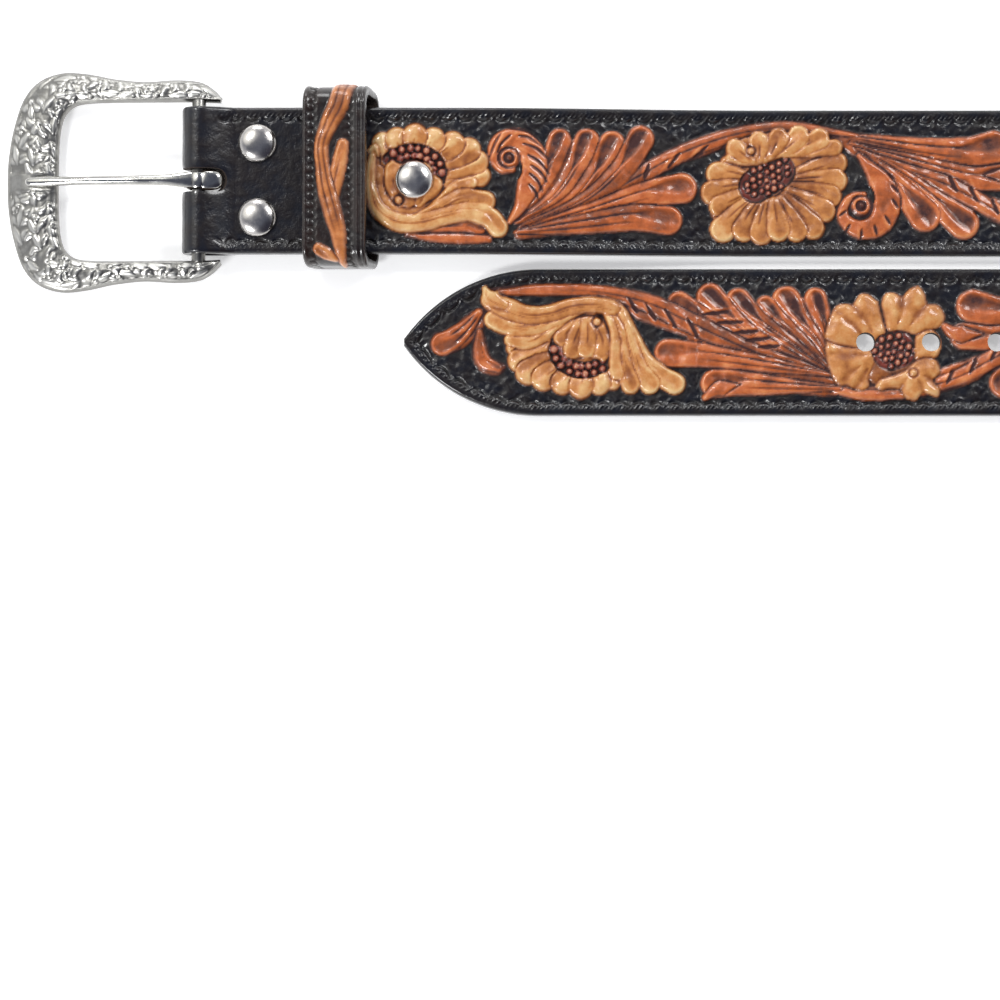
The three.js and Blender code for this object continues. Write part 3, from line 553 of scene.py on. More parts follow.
LEAF_LOBES = [
    Lobe([(113, 12.6), (132, 9.2), (145, 8.0), (152.6, 9.3)], [0.9, 1.7, 2.6, 3.6, 4.1], 0.5, 2),
    Lobe([(28, -11), (48, -5), (60, 1.5), (72, 8), (87, 13), (101, 14.3), (117, 12.4)],
         [1.2, 1.8, 2.4, 2.2, 1.9, 1.7, 0.6], 0, 1),
    Lobe([(29, -9), (33.5, -3), (37, 4), (39.4, 10.6)], [1.0, 1.9, 2.7, 2.9], 0.6),
    Lobe([(29.5, -10), (38, -4.5), (43.5, 3), (46.4, 10.4)], [1.0, 2.0, 3.0, 3.2], 0.6),
    Lobe([(30, -11), (42, -6), (49.3, 2), (53.0, 9.6)], [1.0, 2.0, 3.1, 3.4], 0.6),
    Lobe([(30, -11.5), (45, -5.8), (55, 2.5), (60.4, 11.1)], [1.0, 2.0, 2.9, 3.4], 0.55),
    Lobe([(30, -12.5), (47, -8), (62, -3.2), (71.2, -1.6)], [1.1, 2.0, 3.1, 3.8], 0.4, 2),
    Lobe([(28, -13.5), (45, -11.2), (58, -9.4), (67.4, -10.0)], [1.2, 2.2, 3.2, 3.7], 0.35, 2),
    Lobe([(115, 10.5), (131, 5.6), (146, 1.4), (155, 1.5)], [0.9, 1.8, 2.8, 3.4], 0.4, 2),
    Lobe([(150, 2), (157, 2.2), (160.4, 4.4)], [0.5, 2.4, 0.9], 0, 0),
    Lobe([(117, 9), (128, 4), (139, 0), (148, -4.6), (157, -9.3), (170, -12.9), (182, -13.6), (194, -10.8)],
         [0.9, 1.6, 2.4, 2.4, 1.9, 1.6, 1.5, 0.6], 0, 1),
    Lobe([(119, 8.5), (130, 0.8), (138, -5.6), (144.4, -10.6)], [0.9, 1.8, 2.9, 3.9], 0.5, 2),
    Lobe([(118, 8), (125.4, 1.6), (130.6, -4.0), (134.4, -8.6)], [0.9, 1.8, 3.0, 4.0], 0.5, 1),
    Lobe([(188, -5.5), (190, 0), (192, 6.5), (193.4, 11.2)], [1.3, 2.0, 2.6, 2.8], 0.6),
    Lobe([(189, -6), (193, 0), (198, 6), (200.9, 10.8)], [1.1, 2.0, 3.1, 3.6], 0.6),
    Lobe([(190, -6.5), (197, 0), (203, 5.5), (206.3, 9.4)], [1.0, 1.9, 2.5, 2.6], 0.45),
    Lobe([(191, -7), (200, -0.5), (208, 5), (213.3, 10.8)], [1.0, 2.0, 2.8, 3.1], 0.6),
    Lobe([(193, -7), (206, -1), (214, 4.5), (220.6, 11.6)], [1.0, 2.1, 3.0, 3.5], 0.55),
    Lobe([(195, -7), (211, -0.5), (221, 5), (228.6, 9.8)], [1.0, 2.0, 2.8, 3.2], 0.5),
    Lobe([(188, -9), (197, -6.4), (207, -3.4), (217, 0.8), (227, 5.6), (237, 10.2), (250, 13), (264, 13.6),
          (276, 12.9)], [1.3, 1.8, 2.2, 2.6, 2.7, 2.2, 1.7, 1.6, 0.9], 0, 1),
    Lobe([(190, -8.4), (210, -5.2), (223, -3.4), (231.4, -2.9)], [1.2, 2.0, 2.8, 3.6], 0.35, 2),
    Lobe([(187, -12), (203, -11.3), (214, -10.6), (219.4, -10.8)], [1.3, 1.8, 2.9, 3.6], 0.35, 2),
    Lobe([(213, -11), (218.6, -12.2), (222, -14.4)], [0.5, 2.2, 0.9], 0, 0),
]

# Curls: their limb, the eye that they turn round and the cuts that feather them
CURLS = [
    (Lobe([(26.4, -10.8), (29.0, -7.2), (31.0, -2.4), (32.4, 2.4), (31.6, 7.2), (28.2, 10.7), (24, 10),
           (22.4, 6), (24.4, 3), (27, 3)], [0.8, 1.7, 2.8, 3.8, 4.2, 3.7, 2.8, 2.1, 1.4, 1.1], 0, 0),
     (26.3, 5.9),
     [[(28.9, 11.6), (31.6, 11.2), (34.6, 8.8)], [(30, 9.6), (33.4, 8.4), (36.4, 5.6)],
      [(31.2, 6.6), (34, 5), (36.6, 1.8)], [(31.9, 4), (34.4, 2.2), (36.2, -0.6)],
      [(31.6, 1.8), (33.6, 0), (35, -2.8)], [(31.4, -1), (33, -2.8), (33.8, -5)],
      [(26.6, 13.6), (31.4, 12.6), (34.6, 9.8)], [(24, 12), (22.4, 9), (21.2, 5.6)],
      [(26.6, 11.8), (24.4, 9.6), (23.2, 7)]]),
    (Lobe([(117.5, 7), (120.5, 3.6), (123.4, -0.6), (124.6, -6), (122.4, -10.8), (117.6, -12.2),
           (113.6, -9.6), (113.4, -6), (115.8, -3.6), (118.6, -3.2)],
          [0.9, 2.0, 3.3, 3.9, 3.6, 3.0, 2.4, 1.8, 1.3, 1.0], 0, 0), (118.0, -6.0),
     [[(126.4, 1.0), (125.0, 2.4)], [(127.4, -2.4), (125.9, -0.5)], [(127.5, -6.5), (126.0, -4.2)],
      [(125.5, -10.9), (124.0, -8.5)], [(122.0, -13.6), (121.3, -11.0)], [(117.9, -14.5), (118, -12.0)],
      [(113.9, -12.9), (115.1, -10.7)], [(112.4, -8.6), (114.2, -7.2)]]),
]

CUTS = [
    [(61.4, 1), (62.6, 4.8)], [(67.6, 3.8), (70.6, 7.6)], [(74.4, 6.4), (78, 9.6)],
    [(141, 1.4), (142.8, -2.4)],
    [(146.4, -1.4), (148.2, -5)], [(152, -4.6), (153.6, -8.4)], [(158, -7.6), (159.6, -11)],
    [(203, -1), (208.4, -1.4)], [(205.6, 1), (211.4, 0.4)], [(208.6, 2.8), (215, 2.4)],
    [(212.4, 5.2), (219, 5)], [(216.4, 7.8), (222.6, 7.2)], [(224, 1.4), (226.6, 6.2)],
    [(229.6, 4), (232.4, 8.6)], [(234.8, 5.8), (237.4, 10)], [(239.6, 7.8), (241.8, 11.4)],
]

# Petals as a direction in degrees, a reach from the flower's middle and a half width
SUNFLOWER = (94.5, 0.0)
SUNFLOWER_SEEDS = (93.5, 1.0, 8.0, 4.4, 33)
SUNFLOWER_AREA = [
    (80, 3.5), (78, -3), (80, -11), (87, -12.5), (94, -13.5), (102, -13.4), (108, -11.5), (111, -5),
    (112.5, 1), (112.6, 6), (108, 11), (100, 13), (90, 12), (83, 8),
]
SUNFLOWER_PETALS = [
    (171, 17.0, 3.2), (190, 18.6, 3.2), (205, 17.5, 2.8), (17, 20.6, 2.9), (2, 19.8, 3.1), (347, 18.8, 3.0),
    (332, 18.6, 3.0), (224, 20.8, 3.3), (240, 17.2, 3.1), (313, 19.0, 3.0), (298, 17.0, 2.9),
    (259, 16.4, 3.1), (279, 15.4, 3.0),
]
SUNFLOWER_FLAP_AREA = [
    (82.4, 7.6), (84, 10.4), (89, 12.4), (96, 13.6), (103, 13.4), (109, 12.2), (112.6, 9.8), (111.6, 7.4),
    (103, 6.9), (96, 6.0), (91, 4.2), (86, 4.4),
]
SUNFLOWER_FLAP = [
    Lobe([(83.8, 6.4), (87.4, 5.9), (92, 6.6), (97, 8.0), (104, 8.6), (110, 8.6)],
         [1.4, 1.8, 1.8, 1.7, 1.5, 1.2], 0, 0),
    Lobe([(99, 7.4), (106, 8.6), (111, 9.2)], [1.0, 2.2, 2.4], 0.15, 1),
    Lobe([(98, 7.4), (103.8, 9.8), (107.2, 11.4)], [1.2, 2.6, 2.9], 0.2, 1),
    Lobe([(96.6, 7.4), (100.4, 10.4), (101.8, 12.0)], [1.2, 2.6, 3.0], 0.2, 1),
    Lobe([(94.4, 6.8), (96, 10.2), (96.6, 11.6)], [1.2, 2.6, 2.9], 0.2, 1),
    Lobe([(91.6, 6.0), (91.6, 9.6), (91.4, 10.8)], [1.2, 2.6, 2.8], 0.2, 1),
    Lobe([(89.6, 5.6), (86.8, 7.8), (85.2, 9)], [1.2, 2.5, 2.6], 0.1, 1),
]

ROSE_SEEDS = (173.0, -2.2, 5.8, 4.9, -18)
# A low area under the rose's seeds, painted dark brown as a painted shadow
ROSE_BED = [(167, -3), (165, -8), (171, -11), (179, -11), (181, -4), (177, 2), (170, 2.4)]
ROSE_BROAD = [
    [(190.7, 0.5), (191.1, -1.8), (190.6, -5.4), (189.4, -8.7), (187.9, -11.3), (185.5, -11.3),
     (183.4, -12.6), (180.7, -12.6), (179.4, -11.3), (179.7, -9.5), (178.9, -7.2), (177.8, -4.8),
     (177.5, -1.8), (185.8, -0.9)],
    [(174.8, 1.7), (176.9, 9.8), (177.8, 11), (179.8, 12.5), (181.9, 12.4), (183.7, 10), (185.8, 10),
     (188.3, 9.2), (190, 6), (190.9, 3.3), (190.7, 0.5), (185.8, -1.2), (179.2, -1.8), (177.5, -0)],
    [(175.7, 6), (176.4, 9.5), (175.4, 12.5), (173, 12.8), (170.9, 12), (169.1, 13.8), (166.7, 14.6),
     (165.1, 12.5), (164.2, 10), (161.4, 9.5), (159.9, 6.6), (160.8, 4.2), (163.6, 2.9), (167, 1.7),
     (170, 2.4), (173.3, 2.1), (174.8, 3)],
]
ROSE_TURNED = [
    [(167.6, 1.7), (165.5, 3), (162.6, 3), (160.9, -0), (161.7, -3.6), (164.9, -5.4), (167.6, -4.8),
     (167.9, -1.8)],
    [(178.2, -11.5), (176.9, -9.7), (173.9, -8.7), (170.3, -7.3), (167.6, -4.8), (164.9, -3.9),
     (162.1, -4.7), (161.1, -7.8), (162.7, -10), (161.2, -12.5), (162, -14.4), (164.2, -13.7),
     (165.8, -13.2), (167.3, -15.2), (170, -14.9), (171.8, -12.6), (174.5, -12.4), (176.6, -12.8)],
]
ROSE_SOFT = [
    [(183.7, 9.5), (180.7, 6), (178.7, 2.4)],
    [(188.1, 8.2), (184, 4.8), (180.7, 0.9)],
    [(170.9, 11.6), (171.2, 8), (172.1, 4.8)],
    [(164.5, 9.7), (167, 7.2), (168.8, 4.5)],
    [(189.1, -3), (184.6, -3.5), (179.8, -3.3)],
    [(187.7, -10.9), (184.9, -8.4), (181.9, -6.3)],
    [(183.4, -12.2), (181.6, -9.5), (179.8, -6.9)],
]
ROSE_TURNED_SOFT = [
    [(171.5, -12.3), (170.9, -11), (170, -9.5)],
    [(165.5, -13), (166.2, -11.3), (167, -9.8)],
    [(162.9, -10), (164.3, -9.2), (165.5, -8.7)],
]

# Bell flower: flap on its left, ribbon on its right, petals, dome and berries
BELL_FLAP_AREA = [
    (-2, -12), (-6.5, -11), (-10, -7.6), (-12.6, 0), (-15.4, 5), (-20, 8.4), (-24, 9.4), (-22.6, 12.6),
    (-16, 12), (-11, 12.4), (-8.6, 10.4), (-6, 9), (-5.4, 0), (-4, -6),
]
BELL_FLAP = [
    Lobe([(0, -9.6), (-6.5, -8.4), (-10.4, -2), (-13.8, 4.6), (-18, 8.6), (-22, 10.8)],
         [2.2, 2.6, 2.4, 2.6, 3.0, 3.0], 0.25, 1),
    Lobe([(-3, -9.5), (-8.2, -5.5), (-10.3, 1), (-12.4, 7), (-15.6, 10.8)], [1.8, 2.4, 2.6, 2.9, 2.9],
         0.25, 1),
    Lobe([(-4, -9), (-7.2, -3.5), (-8, 2), (-9, 7), (-10.6, 11)], [1.4, 2.0, 2.2, 2.6, 2.7], 0.25, 1),
    Lobe([(-5, -7), (-6.6, -1), (-6.6, 5), (-7.2, 8.4)], [1.0, 1.4, 1.7, 1.9], 0.1, 0),
]
BELL_RIBBON_AREA = [
    (0, -12), (7, -11), (13, -9.5), (20, -10.6), (25, -13), (27.6, -9.5), (26, -7), (25.4, -3.4), (21.4, -1),
    (20, 1.4), (16, 1.8), (12, 0), (8, -4), (3, -6.4), (-2, -7),
]
BELL_RIBBON = [
    Lobe([(4, -8), (9, -4.6), (13, -1.2), (16.6, 0.2), (20.2, -0.6)], [1.4, 2.0, 2.2, 2.2, 2.0], 0.1, 1),
    Lobe([(2, -8.6), (9, -6), (15, -4), (21, -4.4), (24.8, -5.8)], [1.6, 2.2, 2.6, 2.9, 2.6], 0.2, 1),
    Lobe([(-6, -8.8), (-1, -9.7), (5, -9.1), (10, -7.4), (16, -7), (22, -9), (25.6, -11)],
         [2.2, 2.4, 2.4, 2.4, 2.6, 3.0, 2.6], 0.25, 1),
    Lobe([(22, -9.6), (25.6, -11.6), (27.0, -13.8)], [1.4, 2.6, 0.9], 0.35, 0),
]
FIRST_BELL_AREA = [
    (-9.6, 9), (-10, 0), (-9, -6.6), (-5, -11), (2, -12.6), (10, -10.6), (8, -2), (10, 3), (2, 8), (-4, 10),
]
FIRST_BELL_LEAF = [
    Lobe([(2, -13.6), (8, -12.2), (14, -11.8), (19, -12.8)], [0.8, 1.6, 2.0, 1.6], 0.2, 1),
    Lobe([(0, -14), (6, -14.9), (14, -15.2), (21, -15.2)], [0.7, 1.3, 1.5, 1.2], 0, 0),
]
FIRST_BELL_RIBBON = [
    Lobe([(4, -9.8), (9.4, -5.4), (12.8, -2.2), (16.4, -0.8)], [1.2, 1.9, 2.1, 2.0], 0.1, 1),
    Lobe([(1, -11), (9, -7.4), (14.5, -4.8), (20, -5.6)], [1.4, 2.4, 2.8, 3.0], 0.2, 1),
    Lobe([(-8.5, 7.6), (-9.2, 3), (-9, -3), (-7, -8), (-2, -11), (4, -11), (10, -9.4), (16, -8.2), (21, -9.6),
          (23.4, -12.2)], [1.2, 1.4, 1.6, 2.3, 2.6, 2.6, 2.5, 2.6, 3.0, 2.8], 0.25, 1),
    Lobe([(-7.4, 6.4), (-8.2, 8.6), (-9.4, 7.6)], [0.7, 1.0, 0.9], 0, 0),
]
BELL_PETAL_AREA = [
    (-7, 4), (-7, 10.5), (-3.5, 12), (2.5, 13.6), (8, 12), (13.5, 11), (17.6, 9.6), (19.6, 6.5), (20.6, 3),
    (19, 0.6), (14, -1), (8, -2),
]
# Their cups are raised (negative), and lay_lobe paints each raised cup lighter, a painted highlight.
BELL_PETALS = [
    Lobe([(11, -0.6), (16, 0.6), (18.6, 1.2)], [2.2, 3.0, 3.1], -0.3),
    Lobe([(10, 2.2), (15, 3.8), (18.0, 4.8)], [2.4, 3.3, 3.3], -0.3),
    Lobe([(-4.6, 6.4), (-5.8, 8.8), (-6.0, 9.6)], [2.2, 3.0, 3.1], -0.3),
    Lobe([(9, 4.4), (13.4, 6.6), (15.8, 7.8)], [2.4, 3.4, 3.5], -0.3),
    Lobe([(-1.8, 7.6), (-2.3, 9.6), (-2.5, 10.6)], [2.4, 3.2, 3.3], -0.3),
    Lobe([(7.6, 6.2), (10.6, 8.4), (11.8, 9.4)], [2.4, 3.4, 3.5], -0.3),
    Lobe([(4.6, 7.6), (6.2, 9.8), (6.9, 10.5)], [2.4, 3.3, 3.4], -0.3),
    Lobe([(1.5, 8.4), (2.0, 10.8), (2.2, 11.6)], [2.4, 3.3, 3.4], -0.3),
]
BELL_DOME_AREA = [
    (-5.2, -3.5), (-3.5, -6.2), (0, -7), (4, -6.4), (8, -4.5), (9.6, -1.5), (8.6, 0.4), (6.4, 0.8), (5.6, 3),
    (3.6, 4.4), (0.5, 4.2), (-2.4, 4.8), (-4.6, 3.6), (-6, 0),
]
BELL_DOME = [
    Lobe([(3, -5.4), (5.6, -2.6), (7.2, -1)], [2.0, 2.4, 2.3], 0.1, 1),
    Lobe([(-1, -5.4), (-3.3, -1), (-3.4, 2.6)], [2.0, 2.6, 2.5], 0.1, 1),
    Lobe([(2, -5), (3.8, -0.5), (4.4, 2.2)], [2.0, 2.4, 2.5], 0.1, 1),
    Lobe([(0.4, -5.6), (0.4, -1), (0.8, 2.0)], [2.0, 2.4, 2.5], 0.1, 1),
]
BERRY_BED = Lobe([(-4.4, 5.4), (-0.5, 7.2), (3.8, 7.2), (7, 5.2), (8.2, 2.6), (8, 0.2)], [1.8, 2.0, 2.0],
                 0, 0)

TIP_AREAS = [
    [(27, -9), (27, -4), (29.4, -0.8), (33, 1.8), (37, 3.4), (40, 3.0), (40.8, 0.4), (40, -2.4), (36, -3.2),
     (32, -7)],
    [(27.5, -3.4), (26.4, 1), (25, 4.2), (21.6, 6), (23.4, 8.6), (27.6, 8), (30, 4.8), (30, 0.5)],
]
TIP_LOBES = [
    Lobe([(28.6, -7.6), (32, -3.6), (35.4, -0.8), (38, 0.5)], [1.3, 2.2, 2.9, 3.2], 0.3, 2),
    Lobe([(28.4, -2.6), (28.4, 1.4), (27.2, 5), (23.6, 6.8)], [1.0, 1.8, 2.2, 1.4], 0.3, 0),
]


# The fingers of a fan have deeper cups than the other lobes, and run into each other more
FAN_CUP = 0.42
FAN_EDGE = {"press": 0.06, "line": 0.07, "nick": 0.2}
STRAND_EDGE = {"press": 0.15, "line": 0.18, "nick": 0.42}
BROAD_PETAL = 3.05
CURL_HUB = 2.9
CURL_RING = 1.75


class Carver:
    """Draws the motifs at an offset along the strap, turned over where flip is -1"""

    def __init__(self, drawing, finish, offset=0.0, flip=1):
        self.drawing, self.offset, self.flip = drawing, offset, flip
        self.leaf_lift = finish.leaf_lift / MM
        self.flower_lift = finish.flower_lift / MM
        self.random = np.random.default_rng(SEED)

    def place(self, x, y):
        return x + self.offset, y * self.flip

    def lobes(self, rows, lift, dye, tone=0.0, width=1.0, **shape):
        for row in rows:
            row = row._replace(line=[self.place(x, y) for x, y in row.line],
                               halves=[half * width for half in row.halves])
            lay_lobe(self.drawing, row, lift, dye, tone=tone + self.random.uniform(-0.09, 0.11),
                     hand=self.flip, **shape)

    def area(self, outline, lift, dye, tone=0.08, **shape):
        lay_area(self.drawing, [self.place(x, y) for x, y in outline], lift, dye, tone, **shape)

    def bead(self, x, y, radius, lift, dye, **shape):
        lay_bead(self.drawing, *self.place(x, y), radius, lift, dye, **shape)

    def cut(self, line, width=0.62, depth=0.5, shade=0.65):
        lay_cut(self.drawing, [self.place(x, y) for x, y in line], width, depth, shade)

    def seeds(self, x, y, length, width, turn):
        lay_seeds(self.drawing, *self.place(x, y), length, width, turn * self.flip, self.flower_lift)

    def petals(self, middle, rows, root):
        x, y = middle
        for turn, reach, half in rows:
            way = np.array([math.cos(math.radians(turn)), math.sin(math.radians(turn))])
            end = reach - half
            along = [tuple((x, y) + way * r) for r in (root, (root + end) * 0.55, end)]
            petal = Lobe(along, [half * 0.55, half * 0.95, half * 1.08], 0.10, 1 + int(half > BROAD_PETAL))
            self.lobes([petal], self.flower_lift, FLOWER, crown=0.42, cut=0.10, root=0.22, press=0.10,
                       line=0.10, nick=0.26)

    def leaves(self):
        for outline in LEAF_AREAS:
            self.area(outline, self.leaf_lift * 0.75, LEAF, 0.14)
        for lobe in LEAF_LOBES:
            lobe = lobe._replace(halves=[lobe.halves[0] * 0.5, *lobe.halves[1:]])
            edge = FAN_EDGE if lobe.cup > FAN_CUP else STRAND_EDGE
            self.lobes([lobe], self.leaf_lift, LEAF, width=1.08, crown=0.32, tilt=0.2, root=0.16, **edge)
        for line in CUTS:
            self.cut(line)
        for limb, (x, y), slashes in CURLS:
            self.lobes([limb], self.leaf_lift * 1.1, LEAF, crown=0.3)
            for line in slashes:
                self.cut(line, width=0.48, depth=0.4)
            hub = Lobe([(x - 0.1, y), (x, y), (x + 0.1, y)], [CURL_HUB, CURL_HUB], 0, 0)
            self.lobes([hub], self.leaf_lift * 0.75, LEAF, tone=0.3, crown=0.1, press=0.05, line=0.1,
                       nick=0.2)
            turns = np.linspace(0, 6.28, 13)
            ring = [(x + CURL_RING * math.cos(a), y + CURL_RING * math.sin(a)) for a in turns]
            self.lobes([Lobe(ring, [0.62, 0.62], 0, 0)], self.leaf_lift * 1.25, LEAF, tone=-0.16, crown=0.2,
                       press=0.12, line=0.15)
            self.bead(x, y, 1.0, self.leaf_lift * 0.8, LEAF, tone=0.75)

    def sunflower(self):
        self.area(SUNFLOWER_AREA, self.flower_lift * 0.8, FLOWER, 0.08)
        self.petals(SUNFLOWER, SUNFLOWER_PETALS, 5.0)
        self.seeds(*SUNFLOWER_SEEDS)
        self.area(SUNFLOWER_FLAP_AREA, self.flower_lift * 0.85, FLOWER)
        self.lobes(SUNFLOWER_FLAP, self.flower_lift * 1.15, FLOWER, tone=-0.05, crown=0.4, cut=0.08,
                   press=0.04, line=0.05, nick=0.14)
        self.bead(89.3, 8.2, 0.95, self.flower_lift * 1.1, FLOWER)

    def broad_petals(self, outlines, folds, lift, tone, width, depth):
        """Petals cut as one piece, with soft folds pressed into them"""
        for outline in outlines:
            self.area(outline, lift, FLOWER, tone, crown=0.45, line=0.13, nick=0.26)
        for line in folds:
            self.cut(line, width, depth, 0.1)

    def rose(self):
        # The low area under the seeds; its dark tone is a painted shadow
        self.area(ROSE_BED, self.flower_lift * 0.6, FLOWER, 0.4)
        self.broad_petals(ROSE_BROAD, ROSE_SOFT, self.flower_lift, -0.02, 1.4, 0.3)
        self.seeds(*ROSE_SEEDS)
        self.broad_petals(ROSE_TURNED, ROSE_TURNED_SOFT, self.flower_lift * 1.2, -0.06, 1.1, 0.26)
        self.bead(168.2, -8.1, 0.95, self.flower_lift * 1.15, FLOWER)

    def bell(self, sides):
        self.area(BELL_PETAL_AREA, self.flower_lift * 0.8, FLOWER, 0.1)
        self.lobes(BELL_PETALS, self.flower_lift, FLOWER, crown=0.45, cut=0.06, root=0.2, press=0.04,
                   line=0.03, nick=0.14)
        self.lobes([BERRY_BED], self.flower_lift * 0.4, SEEDS, crown=0.1, press=0.1, line=0.08, nick=0.3)
        line = curve(BERRY_BED.line, 8)
        run = run_along(line)
        for row, offset in enumerate((-1.0, 0.9)):
            for s in np.arange(0.4 + 1.0 * row, run[-1], 2.05):
                k = min(np.searchsorted(run, s), len(line) - 2)
                way = (line[k + 1] - line[k]) / np.hypot(*(line[k + 1] - line[k]))
                x, y = line[k] + np.array([-way[1], way[0]]) * offset
                self.bead(x, y, self.random.uniform(0.8, 1.12), self.flower_lift * 0.95, SEEDS, tone=-0.25)
        self.area(BELL_DOME_AREA, self.flower_lift, FLOWER, 0.02, line=0.12)
        self.lobes(BELL_DOME, self.flower_lift * 1.1, FLOWER, crown=0.3, cut=0.05, press=0.04, line=0.05,
                   nick=0.18)
        for area, lobes in sides:
            if area:
                self.area(area, self.flower_lift * 0.85, FLOWER)
            self.lobes(lobes, self.flower_lift * 1.25, FLOWER, crown=0.45, cut=0.07, tone=-0.08, press=0.08,
                       line=0.07, nick=0.2)
        self.bead(-2.0, -5.2, 1.0, self.flower_lift * 1.2, FLOWER)

    def unit(self):
        self.leaves()
        self.bell([(BELL_FLAP_AREA, BELL_FLAP), (BELL_RIBBON_AREA, BELL_RIBBON)])
        self.sunflower()
        self.rose()


def draw_patterns(finish):
    """The repeating unit, the unit by the buckle and the end by the tip"""
    edge = STRAP_WIDTH / 2
    unit, first, last = (Drawing(UNIT_LEFT, right, -edge, edge, DRAWING_PITCH, GROUND_DENTS)
                         for right in (UNIT_LEFT + UNIT_LENGTH, SHORT_RIGHT, SHORT_RIGHT))
    for turn in (-1, 0, 1):
        Carver(unit, finish, turn * UNIT_LENGTH, 1 if turn == 0 else -1).unit()
    carver = Carver(first, finish)
    carver.leaves()
    carver.lobes(FIRST_BELL_LEAF, carver.leaf_lift * 0.8, LEAF)
    carver.area(FIRST_BELL_AREA, carver.flower_lift * 0.85, FLOWER, 0.0)
    carver.bell([(None, FIRST_BELL_RIBBON)])
    before = Carver(last, finish, -UNIT_LENGTH, -1)
    before.leaves()
    before.rose()
    carver = Carver(last, finish)
    for outline in TIP_AREAS:
        carver.area(outline, carver.leaf_lift * 0.7, LEAF)
    carver.lobes(TIP_LOBES, carver.leaf_lift, LEAF)
    carver.bell([(BELL_FLAP_AREA, BELL_FLAP), (BELL_RIBBON_AREA, BELL_RIBBON)])
    for drawing in (unit, first, last):
        drawing.finish()
    return unit, first, last


class StrapFace:
    """What the carved face is like at any place on the strap"""

    def __init__(self, finish):
        self.unit, self.first, self.last = draw_patterns(finish)
        self.border_lift = finish.border_lift / MM

    def border(self, s, v):
        """Plain rounded border with a row of stamped crescents inside it"""
        half = half_width(s)
        slope = np.where(s > SHOULDER, (half_width(s - 0.5) - half_width(s + 0.5)), 0)
        from_edge = (half - np.abs(v)) / np.sqrt(1 + slope**2)
        border = self.border_lift * (1 - ease(from_edge, BORDER_WIDTH - 0.6, BORDER_WIDTH + 0.5))
        a = (s + np.where(v > 0, STAMP_PITCH / 2, 0)) % STAMP_PITCH - STAMP_PITCH / 2
        b = from_edge - BORDER_WIDTH
        crescent = np.exp(-((np.hypot(a, b + 1.3) - 1.9) / 0.3) ** 2) * ease(b, -1.0, -0.2)
        tick = np.exp(-((np.abs((a + b * 0.8) % 1.15 - 0.575)) / 0.2) ** 2)
        tick *= ease(b, -1.5, -1.2) * (1 - ease(b, -0.5, -0.1))
        shut = 1 - ease(from_edge, BORDER_WIDTH + 1.2, BORDER_WIDTH + 2.0)
        stamped = (0.42 * crescent + 0.22 * tick) * shut
        plain = ease(s, FOLD_END + 2, FOLD_END + 6)
        return (border - stamped) * plain, stamped * 1.2 * plain, from_edge

    def __call__(self, s, v):
        x = s - PATTERN_AT
        unit = np.clip(np.floor((x - UNIT_LEFT) / UNIT_LENGTH), 0, UNITS).astype(int)
        local = x - unit * UNIT_LENGTH
        flipped = v * np.where(unit % 2, -1, 1)
        height, dye, dark = self.unit.sample(local, flipped)
        for drawing, chosen in ((self.first, x < SHORT_RIGHT - 1), (self.last, unit == UNITS)):
            found = drawing.sample(local, flipped)
            height = np.where(chosen, found[0], height)
            dye = np.where(chosen[..., None], found[1], dye)
            dark = np.where(chosen, found[2], dark)
        carved = ease(x, FIRST_LEFT - 0.8, FIRST_LEFT)
        height, dye, dark = height * carved, dye * carved[..., None], dark * carved
        border, stamped, from_edge = self.border(s, v)
        covered = dye.max(-1)
        height = np.where(covered > 0.5, np.maximum(height, 0), height + border * (1 - covered))
        edge_of_leaf = ease(from_edge, 1.2, 2.2)
        dye = dye * edge_of_leaf[..., None]
        height = height * edge_of_leaf + border * (1 - edge_of_leaf)
        dark = dark * edge_of_leaf + stamped * (1 - covered)
        return height, dye, dark


# Meshes


def make_mesh(name, points, normals, dye, dark, quads, caps=(), flat=None, back=None):
    """A closed piece from a grid of points, four-cornered faces and its end caps. Faces that are flat keep
    a hard edge, and those that are back, with the caps, get the second material."""
    points, normals, dye, dark = (np.reshape(grid, (-1, size)) for grid, size in
                                  ((points, 3), (normals, 3), (dye, 3), (dark, 1)))
    corners = np.concatenate([quads.ravel(), *(np.array(cap) for cap in caps)]).astype(int)
    used, remap = np.unique(corners, return_inverse=True)
    mesh = bpy.data.meshes.new(name)
    mesh.vertices.add(len(used))
    mesh.vertices.foreach_set("co", points[used].astype(np.float32).ravel())
    totals = np.array([4] * len(quads) + [len(cap) for cap in caps], np.int32)
    starts = np.concatenate([[0], np.cumsum(totals)[:-1]]).astype(np.int32)
    mesh.loops.add(int(totals.sum()))
    mesh.loops.foreach_set("vertex_index", remap.astype(np.int32))
    mesh.polygons.add(len(totals))
    mesh.polygons.foreach_set("loop_start", starts)
    if back is not None:
        slots = np.concatenate([back, np.ones(len(caps), bool)]).astype(np.int32)
        mesh.polygons.foreach_set("material_index", slots)
    mesh.update(calc_edges=True)
    mesh.polygons.foreach_set("use_smooth", np.ones(len(totals), bool))
    # The dye attribute: the three dyes, and in its alpha the darkness, which also carries painted shade and
    # painted highlight
    colours = np.concatenate([dye[used], dark[used] * 0.5 + 0.5], 1)
    attribute = mesh.attributes.new("dye", "FLOAT_COLOR", "POINT")
    attribute.data.foreach_set("color", colours.astype(np.float32).ravel())
    shading = normals[quads].reshape(-1, 3)
    if flat is not None:
        p = points[quads]
        facing = np.cross(p[:, 2] - p[:, 0], p[:, 3] - p[:, 1])
        facing /= np.maximum(np.linalg.norm(facing, axis=1, keepdims=True), 1e-12)
        shading = np.where(np.repeat(flat, 4)[:, None], np.repeat(facing, 4, axis=0), shading)
    for cap in caps:
        spokes = points[np.array(cap)] - points[np.array(cap)].mean(0)
        normal = np.cross(spokes, np.roll(spokes, -1, axis=0)).sum(0)
        shading = np.vstack([shading, np.tile(normal / np.linalg.norm(normal), (len(cap), 1))])
    mesh.normals_split_custom_set(shading.tolist())
    return placed(name, mesh)


